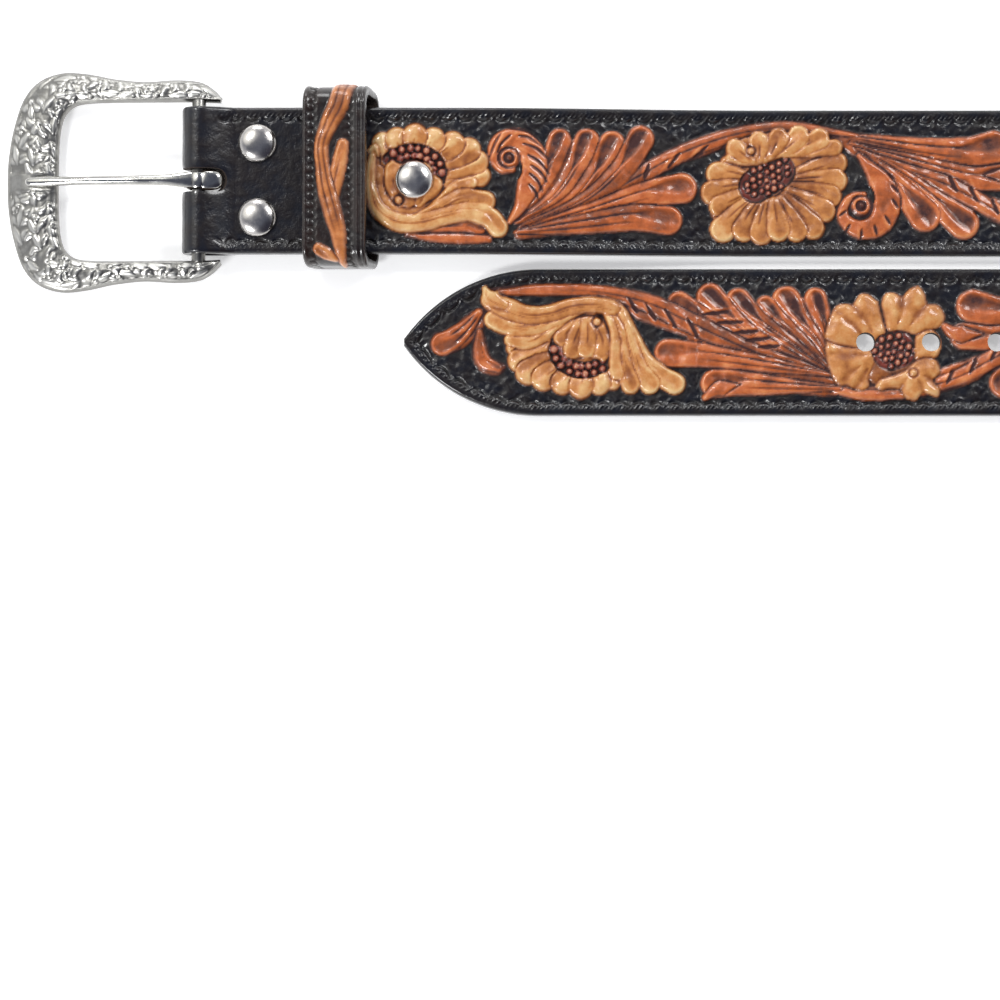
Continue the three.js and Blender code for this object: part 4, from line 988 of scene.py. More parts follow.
def placed(name, mesh):
    piece = bpy.data.objects.new(name, mesh)
    bpy.context.scene.collection.objects.link(piece)
    return piece


def grid_normals(points):
    """Smooth normals of closed rows of points, from one row more at each end than is kept"""
    inner = points[1:-1]
    normals = np.cross(points[2:] - points[:-2], np.roll(inner, -1, axis=1) - np.roll(inner, 1, axis=1))
    return normals / np.maximum(np.linalg.norm(normals, axis=2, keepdims=True), 1e-12)


def ring_faces(rows, around, closed_rows=False):
    i, j = np.indices((rows if closed_rows else rows - 1, around)).reshape(2, -1)
    i1, j1 = (i + 1) % rows, (j + 1) % around
    return np.stack([i * around + j, i1 * around + j, i1 * around + j1, i * around + j1], 1)


def end_caps(rows, around):
    last = rows * around - 1
    return [list(range(around)), list(range(last, last - around, -1))]


class Hole(NamedTuple):
    """A hole through the strap: the line of its middle along s, and its radius"""

    start: float
    end: float
    radius: float


EDGE_ROUND = 0.9
BACK_ROUND = 0.45
EDGE_STEPS = 4
BACK_COLUMNS = 13


def strap_ring(columns, back_columns):
    """The section's outline: share across, offset, whether it is on the face and its drop"""
    angles = np.linspace(0, math.pi / 2, EDGE_STEPS + 1)
    round_face, ones = angles[1:], np.ones(EDGE_STEPS)
    right = np.stack([ones, EDGE_ROUND * np.sin(round_face), ones, -EDGE_ROUND * (1 - np.cos(round_face))], 1)
    under = np.stack([angles * 0 + 1, EDGE_ROUND - BACK_ROUND + BACK_ROUND * np.cos(angles), angles * 0,
                      BACK_ROUND * (1 - np.sin(angles))], 1)
    face, back = (np.linspace(start, -start, count)[:, None] * (1, 0, 0, 0) + (0, 0, on_face, 0)
                  for start, count, on_face in ((-1, columns, 1), (1, back_columns, 0)))
    mirrored = np.array([-1, -1, 1, 1])
    return np.vstack([face, right, under, back, (under * mirrored)[::-1], (right * mirrored)[::-1]])


def strap_section(name, face, start, end, pitch, holes=()):
    """One stretch of the strap, closed at both ends"""
    rows = int((end - start) / pitch) + 2
    s = np.linspace(start, end, rows)
    step = s[1] - s[0]
    s = np.concatenate([[s[0] - step], s, [s[-1] + step]])
    columns = int((STRAP_WIDTH - 2 * EDGE_ROUND) / pitch) + 1
    ring = strap_ring(columns, columns if holes else BACK_COLUMNS)
    around = len(ring)
    share, offset, on_face, drop = ring.T[:, None]
    s = np.repeat(s[:, None], around, axis=1)
    v = share * (half_width(s) - EDGE_ROUND) + offset
    quads = ring_faces(rows, around)
    flat = back = np.zeros(len(quads), bool)
    dip = np.zeros_like(s)
    if holes:
        quads, flat, back = cut_holes(holes, s, v, quads, columns, dip)
    height, dye, dark = face(s, v)
    points = on_strap(s, v, on_face * (LEATHER + height - dip) + drop)
    dye = np.where(on_face[..., None] > 0.5, dye, 0)[1:-1]
    dark = np.where(on_face > 0.5, dark, 0)[1:-1]
    flesh = np.tile((on_face < 0.5) & (np.abs(share) < 1.0), (rows, 1)).ravel()
    return make_mesh(name, points[1:-1], grid_normals(points), dye, dark, quads, end_caps(rows, around), flat,
                     back | flesh[quads].all(1))


def cut_holes(holes, s, v, quads, columns, dip):
    """Takes the holes' faces out, draws their rims onto circles and walls them"""
    rows, around = s.shape[0] - 2, s.shape[1]
    back_of = 2 * (columns + EDGE_STEPS) - np.arange(columns)
    middles = np.array([(hole.start + hole.end) / 2 for hole in holes])
    nearest = np.abs(s[:, :1] - middles[None]).argmin(1)
    starts, ends, radii = (np.array(values)[nearest][:, None] for values in zip(*holes))
    core = np.clip(s, starts, ends)
    gap = np.hypot(s - core, v)
    mid_s = (s[1:-2, :columns - 1] + s[2:-1, 1:columns]) / 2
    mid_v = (v[1:-2, :columns - 1] + v[2:-1, 1:columns]) / 2
    removed = np.hypot(mid_s - np.clip(mid_s, starts[1:-2], ends[1:-2]), mid_v) < radii[1:-2]
    touched = np.zeros((rows, columns), int)
    for di in (0, 1):
        for dj in (0, 1):
            touched[di:rows - 1 + di, dj:columns - 1 + dj] += removed
    ri, rj = np.nonzero((touched > 0) & (touched < 4))
    for column in (rj, back_of[rj]):
        there = (ri + 1, column)
        share = radii[ri + 1, 0] / np.maximum(gap[there], 1e-6)
        s[there], v[there] = core[there] + (s[there] - core[there]) * share, v[there] * share
    dip += HOLE_DIP * np.exp(-np.maximum(gap - radii, 0) / HOLE_DIP_REACH)
    index = np.arange(rows * around).reshape(rows, around)
    gone = np.zeros((rows - 1, around), bool)
    gone[:, :columns - 1] = removed
    gone[:, back_of[1:]] |= removed
    walls = []
    for mask, first, second in (
        (~removed[:, :-1] & removed[:, 1:], (0, 1), (1, 1)),
        (removed[:, :-1] & ~removed[:, 1:], (1, 1), (0, 1)),
        (~removed[:-1] & removed[1:], (1, 1), (1, 0)),
        (removed[:-1] & ~removed[1:], (1, 0), (1, 1)),
    ):
        i, j = np.nonzero(mask)
        (pi, pj), (qi, qj) = ((i + di, j + dj) for di, dj in (first, second))
        walls.append(np.stack([index[pi, pj], index[qi, qj], index[qi, back_of[qj]],
                               index[pi, back_of[pj]]], 1))
    kept = quads[~gone.ravel()]
    is_wall = np.arange(len(kept) + sum(map(len, walls))) >= len(kept)
    return np.vstack([kept, *walls]), is_wall, is_wall


# Materials


def shader(name):
    """A new material, its node tree and its shader"""
    material = bpy.data.materials.new(name)
    material.use_nodes = True
    return material, material.node_tree, material.node_tree.nodes["Principled BSDF"]


def put(tree, socket, value):
    """Sets the input, or joins it to the output that is given"""
    if isinstance(value, bpy.types.NodeSocket):
        tree.links.new(value, socket)
    elif value is not None:
        socket.default_value = value


def fill(tree, node, **values):
    for name, value in values.items():
        if hasattr(node, name):
            setattr(node, name, value)
        else:
            put(tree, node.inputs[name.replace("_", " ")], value)
    return node


def add(tree, kind, **values):
    return fill(tree, tree.nodes.new(kind), **values)


def ramp(tree, fraction, stops):
    node = add(tree, "ShaderNodeValToRGB", Fac=fraction)
    band = node.color_ramp
    while len(band.elements) < len(stops):
        band.elements.new(0.5)
    for element, (place, colour) in zip(band.elements, stops):
        element.position = place
        element.color = (*colour, 1)
    return node.outputs["Color"]


def object_place(tree):
    return add(tree, "ShaderNodeTexCoord").outputs["Object"]


def math_node(tree, operation, a, b, clamp=False):
    node = add(tree, "ShaderNodeMath", operation=operation, use_clamp=clamp)
    for socket, value in zip(node.inputs, (a, b)):
        put(tree, socket, value)
    return node.outputs[0]


def about_nothing(tree, value, middle, amount, clamp=False):
    """The value less its middle, times the amount"""
    return math_node(tree, "MULTIPLY", math_node(tree, "SUBTRACT", value, middle), amount, clamp=clamp)


def mix_colour(tree, fraction, a, b, blend="MIX"):
    node = add(tree, "ShaderNodeMix", data_type="RGBA", blend_type=blend)
    for index, value in ((0, fraction), (6, a), (7, b)):
        put(tree, node.inputs[index], (*value, 1) if isinstance(value, tuple) else value)
    return node.outputs[2]


def bump(tree, height, strength, distance, normal=None):
    return add(tree, "ShaderNodeBump", Strength=strength, Distance=distance, Height=height,
               Normal=normal).outputs[0]


def new_group(name, inputs, outputs):
    tree = bpy.data.node_groups.new(name, "ShaderNodeTree")
    for label, value in inputs.items():
        tree.interface.new_socket(label, in_out="INPUT", socket_type="NodeSocketFloat").default_value = value
    for label in outputs:
        tree.interface.new_socket(label, in_out="OUTPUT", socket_type="NodeSocketFloat")
    return tree, tree.nodes.new("NodeGroupInput").outputs, tree.nodes.new("NodeGroupOutput")


def grain_group():
    """Leather grain: fine pores and creases as a height, and slow colour variation as a mask"""
    tree, given, result = new_group("Leather Grain", {"Pore Scale": 2200.0, "Patch Scale": 210.0},
                                    ("Height", "Patches"))
    place = object_place(tree)
    pores = add(tree, "ShaderNodeTexVoronoi", feature="F1", Vector=place, Scale=given["Pore Scale"])
    creases = add(tree, "ShaderNodeTexNoise", Vector=place, Scale=given["Pore Scale"], Detail=3.0,
                  Roughness=0.6)
    patches = add(tree, "ShaderNodeTexNoise", Vector=place, Scale=given["Patch Scale"], Detail=4.0,
                  Roughness=0.62)
    height = math_node(tree, "ADD", pores.outputs["Distance"], creases.outputs[0])
    fill(tree, result, Height=height, Patches=patches.outputs[0])
    return tree


def matting_group():
    """The ground's matting: small round dents packed close together"""
    tree, given, result = new_group("Matting", {"Scale": 1150.0}, ("Height",))
    dents = add(tree, "ShaderNodeTexVoronoi", feature="SMOOTH_F1", Vector=object_place(tree),
                Scale=given["Scale"], Smoothness=0.35)
    fill(tree, result, Height=dents.outputs["Distance"])
    return tree


def scratches_group():
    """Fine scratches and blotches on handled metal"""
    tree, given, result = new_group("Metal Wear", {"Scale": 900.0, "Stretch": 0.12}, ("Height", "Blotches"))
    place = object_place(tree)
    squeeze = add(tree, "ShaderNodeCombineXYZ", X=1.0, Y=given["Stretch"], Z=1.0)
    stretched = add(tree, "ShaderNodeVectorMath", operation="MULTIPLY")
    put(tree, stretched.inputs[0], place)
    put(tree, stretched.inputs[1], squeeze.outputs[0])
    lines = add(tree, "ShaderNodeTexNoise", Vector=stretched.outputs[0], Scale=given["Scale"], Detail=2.0,
                Roughness=0.5)
    blotches = add(tree, "ShaderNodeTexNoise", Vector=place, Scale=260.0, Detail=5.0, Roughness=0.65)
    fill(tree, result, Height=lines.outputs[0], Blotches=blotches.outputs[0])
    return tree


GROUPS = {"Leather Grain": grain_group, "Matting": matting_group, "Metal Wear": scratches_group}


def use_group(tree, name, **values):
    """The outputs of the group with its own values; it is built the first time that it is used"""
    group = bpy.data.node_groups.get(name) or GROUPS[name]()
    return add(tree, "ShaderNodeGroup", node_tree=group, **values).outputs


def scaled(colour, factor):
    return tuple(min(1.0, c * factor) for c in colour)


def carved_leather(name, finish, ground_colour):
    """Carved and dyed leather. The dye attribute holds the leaf, flower and seed dyes and the darkness, in
    which antique dye, painted shade in hollows and painted highlight on rises are laid.
    """
    material, tree, bsdf = shader(name)
    dyes = add(tree, "ShaderNodeAttribute", attribute_name="dye").outputs
    parts = add(tree, "ShaderNodeSeparateColor", Color=dyes["Color"]).outputs
    grain = use_group(tree, "Leather Grain")
    matting = use_group(tree, "Matting")
    # depth is the darkness from the dye attribute's alpha (antique dye, painted shade and painted highlight)
    # with random patches
    patches = about_nothing(tree, grain["Patches"], 0.5, 0.62)
    depth = math_node(tree, "ADD", dyes["Alpha"], patches, clamp=True)
    leaf, flower, seed = finish.leaf_colour, finish.flower_colour, finish.seed_colour
    # Each ramp turns the darkness into colour: pale where it is below nothing, as on rises painted lighter
    # (painted highlight), through the dye, to near black where antique dye and painted shade lie deepest
    leaf_tones = ramp(tree, depth, [(0.20, (0.74, 0.29, 0.11)), (0.44, leaf), (0.60, scaled(leaf, 0.45)),
                                    (0.80, (0.040, 0.009, 0.008))])
    flower_tones = ramp(tree, depth, [(0.22, (0.76, 0.50, 0.23)), (0.46, flower),
                                      (0.64, (0.27, 0.080, 0.018)), (0.85, (0.045, 0.010, 0.005))])
    seed_tones = ramp(tree, depth, [(0.16, (0.50, 0.20, 0.11)), (0.36, scaled(seed, 1.8)), (0.56, seed),
                                    (0.78, scaled(seed, 0.15))])
    colour = ramp(tree, depth, [(0.25, scaled(ground_colour, 2.0)), (0.55, ground_colour),
                                (0.85, scaled(ground_colour, 0.45))])
    tints = ramp(tree, grain["Patches"], [(0.40, (0.45, 0.62, 1.0)), (0.60, (1.0, 0.66, 0.58))])
    colour = mix_colour(tree, 0.8, colour, tints, "MULTIPLY")
    for index, tones in enumerate((leaf_tones, flower_tones, seed_tones)):
        colour = mix_colour(tree, parts[index], colour, tones)
    hollow = about_nothing(tree, depth, 0.54, 3.4, clamp=True)
    rough = math_node(tree, "ADD", math_node(tree, "MULTIPLY", grain["Patches"], 0.16),
                      math_node(tree, "MULTIPLY", hollow, 0.4))
    fine = math_node(tree, "ADD", math_node(tree, "MULTIPLY", matting["Height"], 0.10),
                     math_node(tree, "MULTIPLY", grain["Height"], 0.12))
    coat = math_node(tree, "SUBTRACT", 0.7, math_node(tree, "MULTIPLY", hollow, 0.7), clamp=True)
    waves = bump(tree, grain["Patches"], 1.0, 0.0004)
    fill(tree, bsdf, Base_Color=colour, Roughness=math_node(tree, "ADD", rough, 0.24), Coat_Weight=coat,
         Normal=bump(tree, fine, 0.4, 0.00016, waves), Specular_IOR_Level=0.4, Coat_Roughness=0.12)
    return material


def flesh_leather(name):
    """The leather's back and cut edges: dark, napped and dull"""
    material, tree, bsdf = shader(name)
    grain = use_group(tree, "Leather Grain", Pore_Scale=1500.0, Patch_Scale=90.0)
    tones = ramp(tree, grain["Patches"], [(0.3, (0.030, 0.020, 0.016)), (0.7, (0.060, 0.038, 0.028))])
    fill(tree, bsdf, Base_Color=tones, Roughness=0.82, Normal=bump(tree, grain["Height"], 0.7, 0.0003))
    return material


def bright_metal(name, colour, roughness, hollows=None, brushed=0.12):
    """Silver or nickel. Where the piece has darkness in its dye attribute it turns grey: oxide in the
    engraving's hollows, and painted shade along the buckle's edges and underside.
    """
    material, tree, bsdf = shader(name)
    wear = use_group(tree, "Metal Wear", Stretch=brushed)
    tones = ramp(tree, wear["Blotches"], [(0.35, scaled(colour, 0.80)), (0.65, tuple(colour))])
    if hollows:
        dyes = add(tree, "ShaderNodeAttribute", attribute_name="dye").outputs
        depth = math_node(tree, "ADD", dyes["Alpha"], about_nothing(tree, wear["Blotches"], 0.5, 0.5),
                          clamp=True)
        tones = mix_colour(tree, ramp(tree, depth, [(0.44, BLACK), (0.68, WHITE)]), tones, hollows)
    rough = math_node(tree, "ADD", about_nothing(tree, wear["Blotches"], 0.5, 0.25), roughness, clamp=True)
    fill(tree, bsdf, Base_Color=tones, Metallic=1.0, Roughness=rough,
         Normal=bump(tree, wear["Height"], 0.18, 0.00006))
    return material


def select_none():
    bpy.ops.object.select_all(action="DESELECT")


@contextmanager
def editing(piece):
    """Edit mode with all of the piece selected"""
    select_none()
    piece.select_set(True)
    bpy.context.view_layer.objects.active = piece
    bpy.ops.object.mode_set(mode="EDIT")
    bpy.ops.mesh.select_all(action="SELECT")
    yield
    bpy.ops.object.mode_set(mode="OBJECT")


def dress(piece, body, slot, node, *materials):
    for material in materials:
        piece.data.materials.append(material)
    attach(piece, body)
    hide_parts(node)


# Pieces


class Piece:
    """What the operators share"""

    bl_options = {"REGISTER", "UNDO"}


class BELT_OT_strap(Piece, bpy.types.Operator):
    """Carve the strap: folded end, two carved ends with their holes, and the loop between them"""

    bl_idname = "belt.strap"
    bl_label = "Carved Strap"

    def execute(self, context):
        finish = context.scene.belt_finish
        face = StrapFace(finish)
        fine, coarse = finish.fine_pitch / MM, finish.coarse_pitch / MM
        slot = Hole(FOLD_START - SLOT_REACH + SLOT_RADIUS, FOLD_END + SLOT_REACH - SLOT_RADIUS, SLOT_RADIUS)
        middles = [STRAP_END - FIRST_HOLE - i * HOLE_SPACING for i in range(HOLE_COUNT)]
        holes = [Hole(middle, middle, HOLE_RADIUS) for middle in middles]
        loop = np.linspace(FOLD_END + OUT_OF_VIEW, STRAP_END - BEFORE_HOLES, 4)
        tip = STRAP_END - PAST_HOLES
        sections = [
            ("strap_folded_end", 0, HIDDEN_END, HIDDEN_PITCH, ()),
            ("strap_fold", HIDDEN_END, FOLD_COVERED, fine * 1.15, (slot,)),
            ("strap_buckle_end", FOLD_COVERED, loop[0], fine, ()),
            *((f"strap_loop_{k}", loop[k - 1], loop[k], coarse, ()) for k in (1, 2, 3)),
            ("strap_holes", loop[3], tip, fine * 1.06, holes), ("strap_tip", tip, STRAP_END, fine, ()),
        ]
        skin = carved_leather("carved_strap_leather", finish, tuple(finish.ground_colour))
        flesh = flesh_leather("strap_flesh")
        for name, start, end, pitch, cut in sections:
            piece = strap_section(name, face, start, end, pitch, cut)
            dress(piece, "strap", "strap_leather", "strap", skin, flesh)
        return {"FINISHED"}


KEEPER_LOBES = [
    Lobe([(7.0, -9), (8.0, -4), (8.9, 0), (9.9, 4), (10.6, 7.6)], [1.6, 1.9, 2.1, 2.0, 1.6], 0.1, 1),
    Lobe([(10.4, 30), (9.8, 19.6), (7.2, 13.6), (5.0, 7.7), (5.4, 1.8), (6.4, -4), (8.0, -10), (9.5, -16),
          (10.2, -26)], [3.4, 2.8, 2.5, 1.9, 1.9, 2.4, 2.4, 1.6, 0.7], 0, 2),
    Lobe([(8.4, -22.2), (6.5, -20.8), (4.4, -19.4)], [1.0, 1.8, 1.6], 0.2, 0),
]


def draw_keeper(finish):
    """The keeper's face: stamped borders, a ridge on the right and a long leaf"""
    drawing = Drawing(0, KEEPER_LENGTH, -KEEPER_DRAWN, KEEPER_DRAWN, DRAWING_PITCH)
    x, y = drawing.x, drawing.y
    carver = Carver(drawing, finish)
    for middle in KEEPER_STAMP_ROWS:
        a = y % KEEPER_STAMP_PITCH - KEEPER_STAMP_PITCH / 2
        stamp = np.exp(-((np.hypot(a, x - middle + 0.9) - 1.25) / 0.3) ** 2)
        band = ease(x, middle - 1.6, middle - 1.2) * (1 - ease(x, middle + 1.2, middle + 1.6))
        drawing.height -= 0.3 * stamp * band
        drawing.dark += 0.3 * stamp * band
    drawing.height += 0.3 * (1 - ease(x, 1.2, 1.9)) + 0.35 * ease(x, 13.4, 14.0)
    drawing.height -= 0.3 * np.exp(-((x - 14.9) / 0.28) ** 2)
    carver.lobes(KEEPER_LOBES, carver.leaf_lift * 0.75, (1.0, 0.55, 0.0), crown=0.16, cut=0.10, press=0.12,
                 line=0.10)
    drawing.finish()
    return drawing


def keeper_outline(count):
    """Points and outward directions round a rounded rectangle, from the middle of its top"""
    half, high, corner = KEEPER_WIDTH / 2, KEEPER_HEIGHT / 2, KEEPER_CORNER
    flat, upright, arc = half - corner, high - corner, corner * math.pi / 2
    lengths = np.array([flat, arc, 2 * upright, arc, 2 * flat, arc, 2 * upright, arc, flat])
    ends = np.cumsum(lengths)
    w = np.linspace(0, ends[-1], count, endpoint=False)
    points, ways = [], []
    for place in w:
        k = int(np.searchsorted(ends, place, side="right"))
        t = place - (ends[k - 1] if k else 0)
        quarter = math.pi / 2 * ((k + 1) // 2)
        if k % 2:
            turn = quarter - math.pi / 2 + t / corner
            centre = [(flat, upright), (flat, -upright), (-flat, -upright), (-flat, upright)][k // 2]
            way = (math.sin(turn), math.cos(turn))
            point = (centre[0] + way[0] * corner, centre[1] + way[1] * corner)
        else:
            way = (math.sin(quarter), math.cos(quarter))
            start = [(0, high), (half, upright), (flat, -high), (-half, -upright), (-flat, high)][k // 2]
            point = (start[0] + way[1] * t, start[1] - way[0] * t)
        points.append(point)
        ways.append(way)
    signed = np.where(w > ends[-1] / 2, w - ends[-1], w)
    return np.array(points), np.array(ways), signed


def keeper_section():
    """Place across the keeper, depth, and whether it is on the face, round the band's section"""
    angles = np.linspace(0, math.pi / 2, EDGE_STEPS + 1)[1:]
    across = np.linspace(KEEPER_ROUND, KEEPER_LENGTH - KEEPER_ROUND, KEEPER_COLUMNS)
    back = np.linspace(KEEPER_LENGTH - 0.1, 0.1, 9)
    right = np.stack([KEEPER_LENGTH - KEEPER_ROUND + KEEPER_ROUND * np.sin(angles),
                      -KEEPER_ROUND * (1 - np.cos(angles))], 1)
    left = right[::-1] * (-1, 1) + (KEEPER_LENGTH, 0)
    section = np.vstack([np.stack([across, across * 0], 1), right,
                         np.stack([back, back * 0 - KEEPER_LEATHER], 1), left])
    on_face = np.ones(len(section))
    on_face[len(across) + EDGE_STEPS:-EDGE_STEPS] = 0
    return section[None, :, 0], section[None, :, 1], on_face


class BELT_OT_keeper(Piece, bpy.types.Operator):
    """Carve the keeper, a closed band of leather round the strap"""

    bl_idname = "belt.keeper"
    bl_label = "Keeper"

    def execute(self, context):
        finish = context.scene.belt_finish
        outline, ways, w = keeper_outline(KEEPER_POINTS)
        across, depth, on_face = keeper_section()
        height, dye, dark = draw_keeper(finish).sample(*np.broadcast_arrays(across, w[:, None]))
        shown = on_face * (1 - ease(np.abs(w)[:, None], *KEEPER_CARVED))
        out = depth + height * shown
        flat = outline[:, None, :] + ways[:, None, :] * out[..., None]
        z = KEEPER_HEIGHT / 2 + flat[..., 1]
        x = KEEPER_START + across + KEEPER_LEAN * (1 - z / KEEPER_HEIGHT)
        points = to_frame(np.stack([x, LEG_SPACING / 2 + KEEPER_SHIFT + flat[..., 0], z], -1))[::-1]
        normals = grid_normals(np.concatenate([points[-1:], points, points[:1]]))
        quads = ring_faces(*out.shape, closed_rows=True)
        inside = np.broadcast_to(on_face < 0.5, out.shape).reshape(-1)[quads].all(1)
        dye, dark = (dye * shown[..., None])[::-1], (dark * shown)[::-1]
        piece = make_mesh("keeper_band", points, normals, dye, dark, quads, back=inside)
        dress(piece, "strap", "keeper_leather", "keeper",
              carved_leather("carved_keeper_leather", finish, KEEPER_BROWN), flesh_leather("keeper_flesh"))
        return {"FINISHED"}


# Buckle frame: matching points on its outer and inner edge, from the upper arm's end to the far end
FRAME_EDGE = [
    ((6.0, 21.7), (5.6, 20.5)), ((3.4, 24.2), (3.0, 20.6)), ((0, 25.9), (0, 20.7)),
    ((-6, 26.4), (-6, 20.7)), ((-14, 26.0), (-14, 20.7)), ((-22, 26.8), (-22, 20.7)),
    ((-29, 28.2), (-27.5, 20.6)), ((-35.6, 28.6), (-32, 19.9)), ((-41.6, 26.6), (-34.7, 17.6)),
    ((-45.8, 22), (-35.9, 14)), ((-48.5, 14), (-36.4, 9)), ((-49.8, 6), (-36.5, 4)), ((-50, 0), (-36.5, 0)),
]
FRAME_PROFILE = [(0.0, -0.1), (0.12, 0.16), (0.3, 0.38), (0.5, 0.48), (0.65, 0.5), (0.85, 0.40), (1.0, 0.22)]
FRAME_UNDER = [(1.0, 0.0), (1.0, -0.25), (0.99, -0.44), (0.94, -0.5), (0.5, -0.5), (0.06, -0.5),
               (0.01, -0.44), (0.0, -0.3)]
CURL_MIDDLE = (3.2, 0.0, 1.9)
CURL_SIZE = (6.2, 5.3, 2.9)
CURL_SQUARE = 3.0
PRONG_WAY = [
    (-1.6, 9.3, 2.2, 0.8), (-4.6, 9.2, 1.9, 1.0), (-9, 9.05, 1.45, 1.15), (-20, 8.35, 1.25, 1.15),
    (-33, 7.0, 1.15, 1.05), (-40, 6.0, 1.35, 0.9), (-44.5, 5.25, 1.05, 0.6),
]


def frame_height(x):
    return BAR_HEIGHT - FRAME_DROP * (np.minimum(0, x) / FRAME_REACH) ** 2


ENGRAVED = 0.22
ENGRAVING_PITCH = 0.12
ENGRAVING_DENTS = 0.03
SPRAY_PITCH = 4.4
SPRAY_SIZE = 3.9
SILVER_TONE = 0.25


def lay_spray(drawing, x, y, turn, size, random):
    """An engraved leaf of three curled fingers"""
    for bend in (-0.8, 0.8, 0.0):
        way = np.array([math.cos(turn + bend), math.sin(turn + bend)])
        hook = np.array([math.cos(turn + bend * 2.0), math.sin(turn + bend * 2.0)])
        length = size * random.uniform(0.9, 1.1) * (1.0 if bend == 0 else 0.8)
        elbow = (x, y) + way * length * 0.6
        line = [(x, y), tuple(elbow), tuple(elbow + hook * length * 0.45)]
        lay_lobe(drawing, Lobe(line, [0.45, 1.15, 0.8], 0, 0), ENGRAVED, GROUND, crown=0.16, press=0.06)


def draw_engraving(length, widths):
    """Leaf sprays, little flowers and beads engraved along the buckle, each side of its middle line"""
    edge = widths.max() / 2 + 0.2
    drawing = Drawing(0, length, -edge, edge, ENGRAVING_PITCH, ENGRAVING_DENTS)
    drawing.dark += SILVER_TONE
    random = np.random.default_rng(SEED)
    steps = np.linspace(0, length, len(widths))
    for column, x in enumerate(np.arange(2.6, length - 1.8, SPRAY_PITCH * 0.82)):
        room = np.interp(x, steps, widths) / 2 - 1.6
        rows = max(1, int(2 * room / SPRAY_PITCH + 0.6) + 1)
        for row in range(rows):
            y = (row - (rows - 1) / 2) * SPRAY_PITCH + (0.8 if column % 2 else -0.8) * (rows < 3)
            y = float(np.clip(y + random.uniform(-0.3, 0.3), -room, room))
            at = x + random.uniform(-0.3, 0.3)
            kind = (column * 3 + row * 2) % 5
            if kind == 0:
                for turn in np.arange(0, 6.2, math.pi / 3):
                    lay_bead(drawing, at + 1.1 * math.cos(turn), y + 1.1 * math.sin(turn), 0.6, ENGRAVED,
                             GROUND, sunk=0.1)
                lay_bead(drawing, at, y, 0.6, ENGRAVED * 1.1, GROUND, sunk=0.1)
            else:
                side = math.pi if kind % 2 else 0.0
                lay_spray(drawing, at, y, side + random.uniform(-0.5, 0.5), SPRAY_SIZE, random)
                if kind == 4:
                    lay_bead(drawing, at, y, 0.6, ENGRAVED * 1.1, GROUND, sunk=0.1)
    drawing.finish()
    return drawing


def frame_edges():
    """Evenly spaced points on the frame's outer and inner edge, and how far along they lie"""
    edges = [curve([row[side] for row in FRAME_EDGE], 40) for side in (0, 1)]
    edges = [np.vstack([edge, (edge * (1, -1))[-2::-1]]) for edge in edges]
    run = run_along((edges[0] + edges[1]) / 2)
    even = np.linspace(0, run[-1], int(run[-1] / FRAME_PITCH))
    return even, *(np.stack([np.interp(even, run, edge[:, k]) for k in (0, 1)], 1) for edge in edges)


def frame_section():
    """The casting's section: share of its width, height and whether it is on the face"""
    face = np.linspace(0, 1, FRAME_COLUMNS)
    up = np.interp(face, *np.array(FRAME_PROFILE).T)
    crown = curve(np.stack([face, up], 1)[::4], 4)
    section = np.vstack([crown, FRAME_UNDER])
    return section[:, 0], section[:, 1], (np.arange(len(section)) < len(crown)) * 1.0


class BELT_OT_buckle(Piece, bpy.types.Operator):
    """Cast and engrave the buckle frame and its bar"""

    bl_idname = "belt.buckle"
    bl_label = "Buckle Frame"

    def execute(self, context):
        even, outer, inner = frame_edges()
        share, lift, on_face = frame_section()
        widths = np.hypot(*(outer - inner).T)
        drawing = draw_engraving(even[-1], widths)
        flat = outer[:, None, :] * (1 - share[None, :, None]) + inner[:, None, :] * share[None, :, None]
        across = (share[None] - 0.5) * widths[:, None]
        height, _, dark = drawing.sample(even[:, None] + across * 0, across)
        room = widths[:, None] / 2 - np.abs(across)
        ends = ease(even, 1.0, 2.5) * ease(even[-1] - even, 1.0, 2.5)
        shown = on_face[None] * ease(room, 0.75, 1.05) * ends[:, None]
        shown = shown * ease(np.abs(flat[..., 1]), 2.0, 2.8)
        rim = on_face[None] * np.exp(-(((room - 0.62) / 0.3) ** 2)) * 0.16
        z = frame_height(flat[..., 0]) + lift[None] * FRAME_THICKNESS + (height - 0.2) * shown + rim
        saddle = np.exp(-((flat[..., 1] / 2.0) ** 4)) * on_face[None]
        prong = np.array(PRONG_WAY)
        under = np.interp(-flat[..., 0], -prong[:, 0], prong[:, 1] - prong[:, 3]) - 0.15
        z = np.where(saddle > 0.02, np.minimum(z, z * (1 - saddle) + np.minimum(z, under) * saddle), z)
        points = to_frame(np.stack([flat[..., 0], LEG_SPACING / 2 + flat[..., 1], z], -1))
        wrapped = np.concatenate([2 * points[:1] - points[1:2], points, 2 * points[-1:] - points[-2:-1]])
        # The face is painted darker near its edges, and the underside all over, a painted shade
        dark = dark * shown + (1 - shown) * SILVER_TONE + 0.3 * (1 - on_face[None] * ease(room, 0.15, 0.5))
        piece = make_mesh("buckle_casting", points, grid_normals(wrapped), np.zeros_like(points), dark,
                          ring_faces(*z.shape), end_caps(*z.shape))
        finish = context.scene.belt_finish
        silver = bright_metal("engraved_silver", tuple(finish.silver_colour), 0.32, FRAME_HOLLOWS)
        dress(piece, "buckle", "buckle_metal", "buckle_frame", silver)
        select_none()
        bpy.ops.mesh.primitive_cylinder_add(
            vertices=40, radius=BAR_RADIUS * MM, depth=BAR_LENGTH * MM, location=BAR_PLACE,
            rotation=(math.pi / 2, 0, 0))
        bar = bpy.context.active_object
        bar.name = "buckle_bar"
        with editing(bar):
            bpy.ops.mesh.bevel(offset=0.0003, segments=2)
        bpy.ops.object.transform_apply(location=True, rotation=True, scale=True)
        bpy.ops.object.shade_smooth_by_angle(angle=math.radians(40))
        dress(bar, "buckle", "buckle_metal", "buckle_frame", silver)
        return {"FINISHED"}


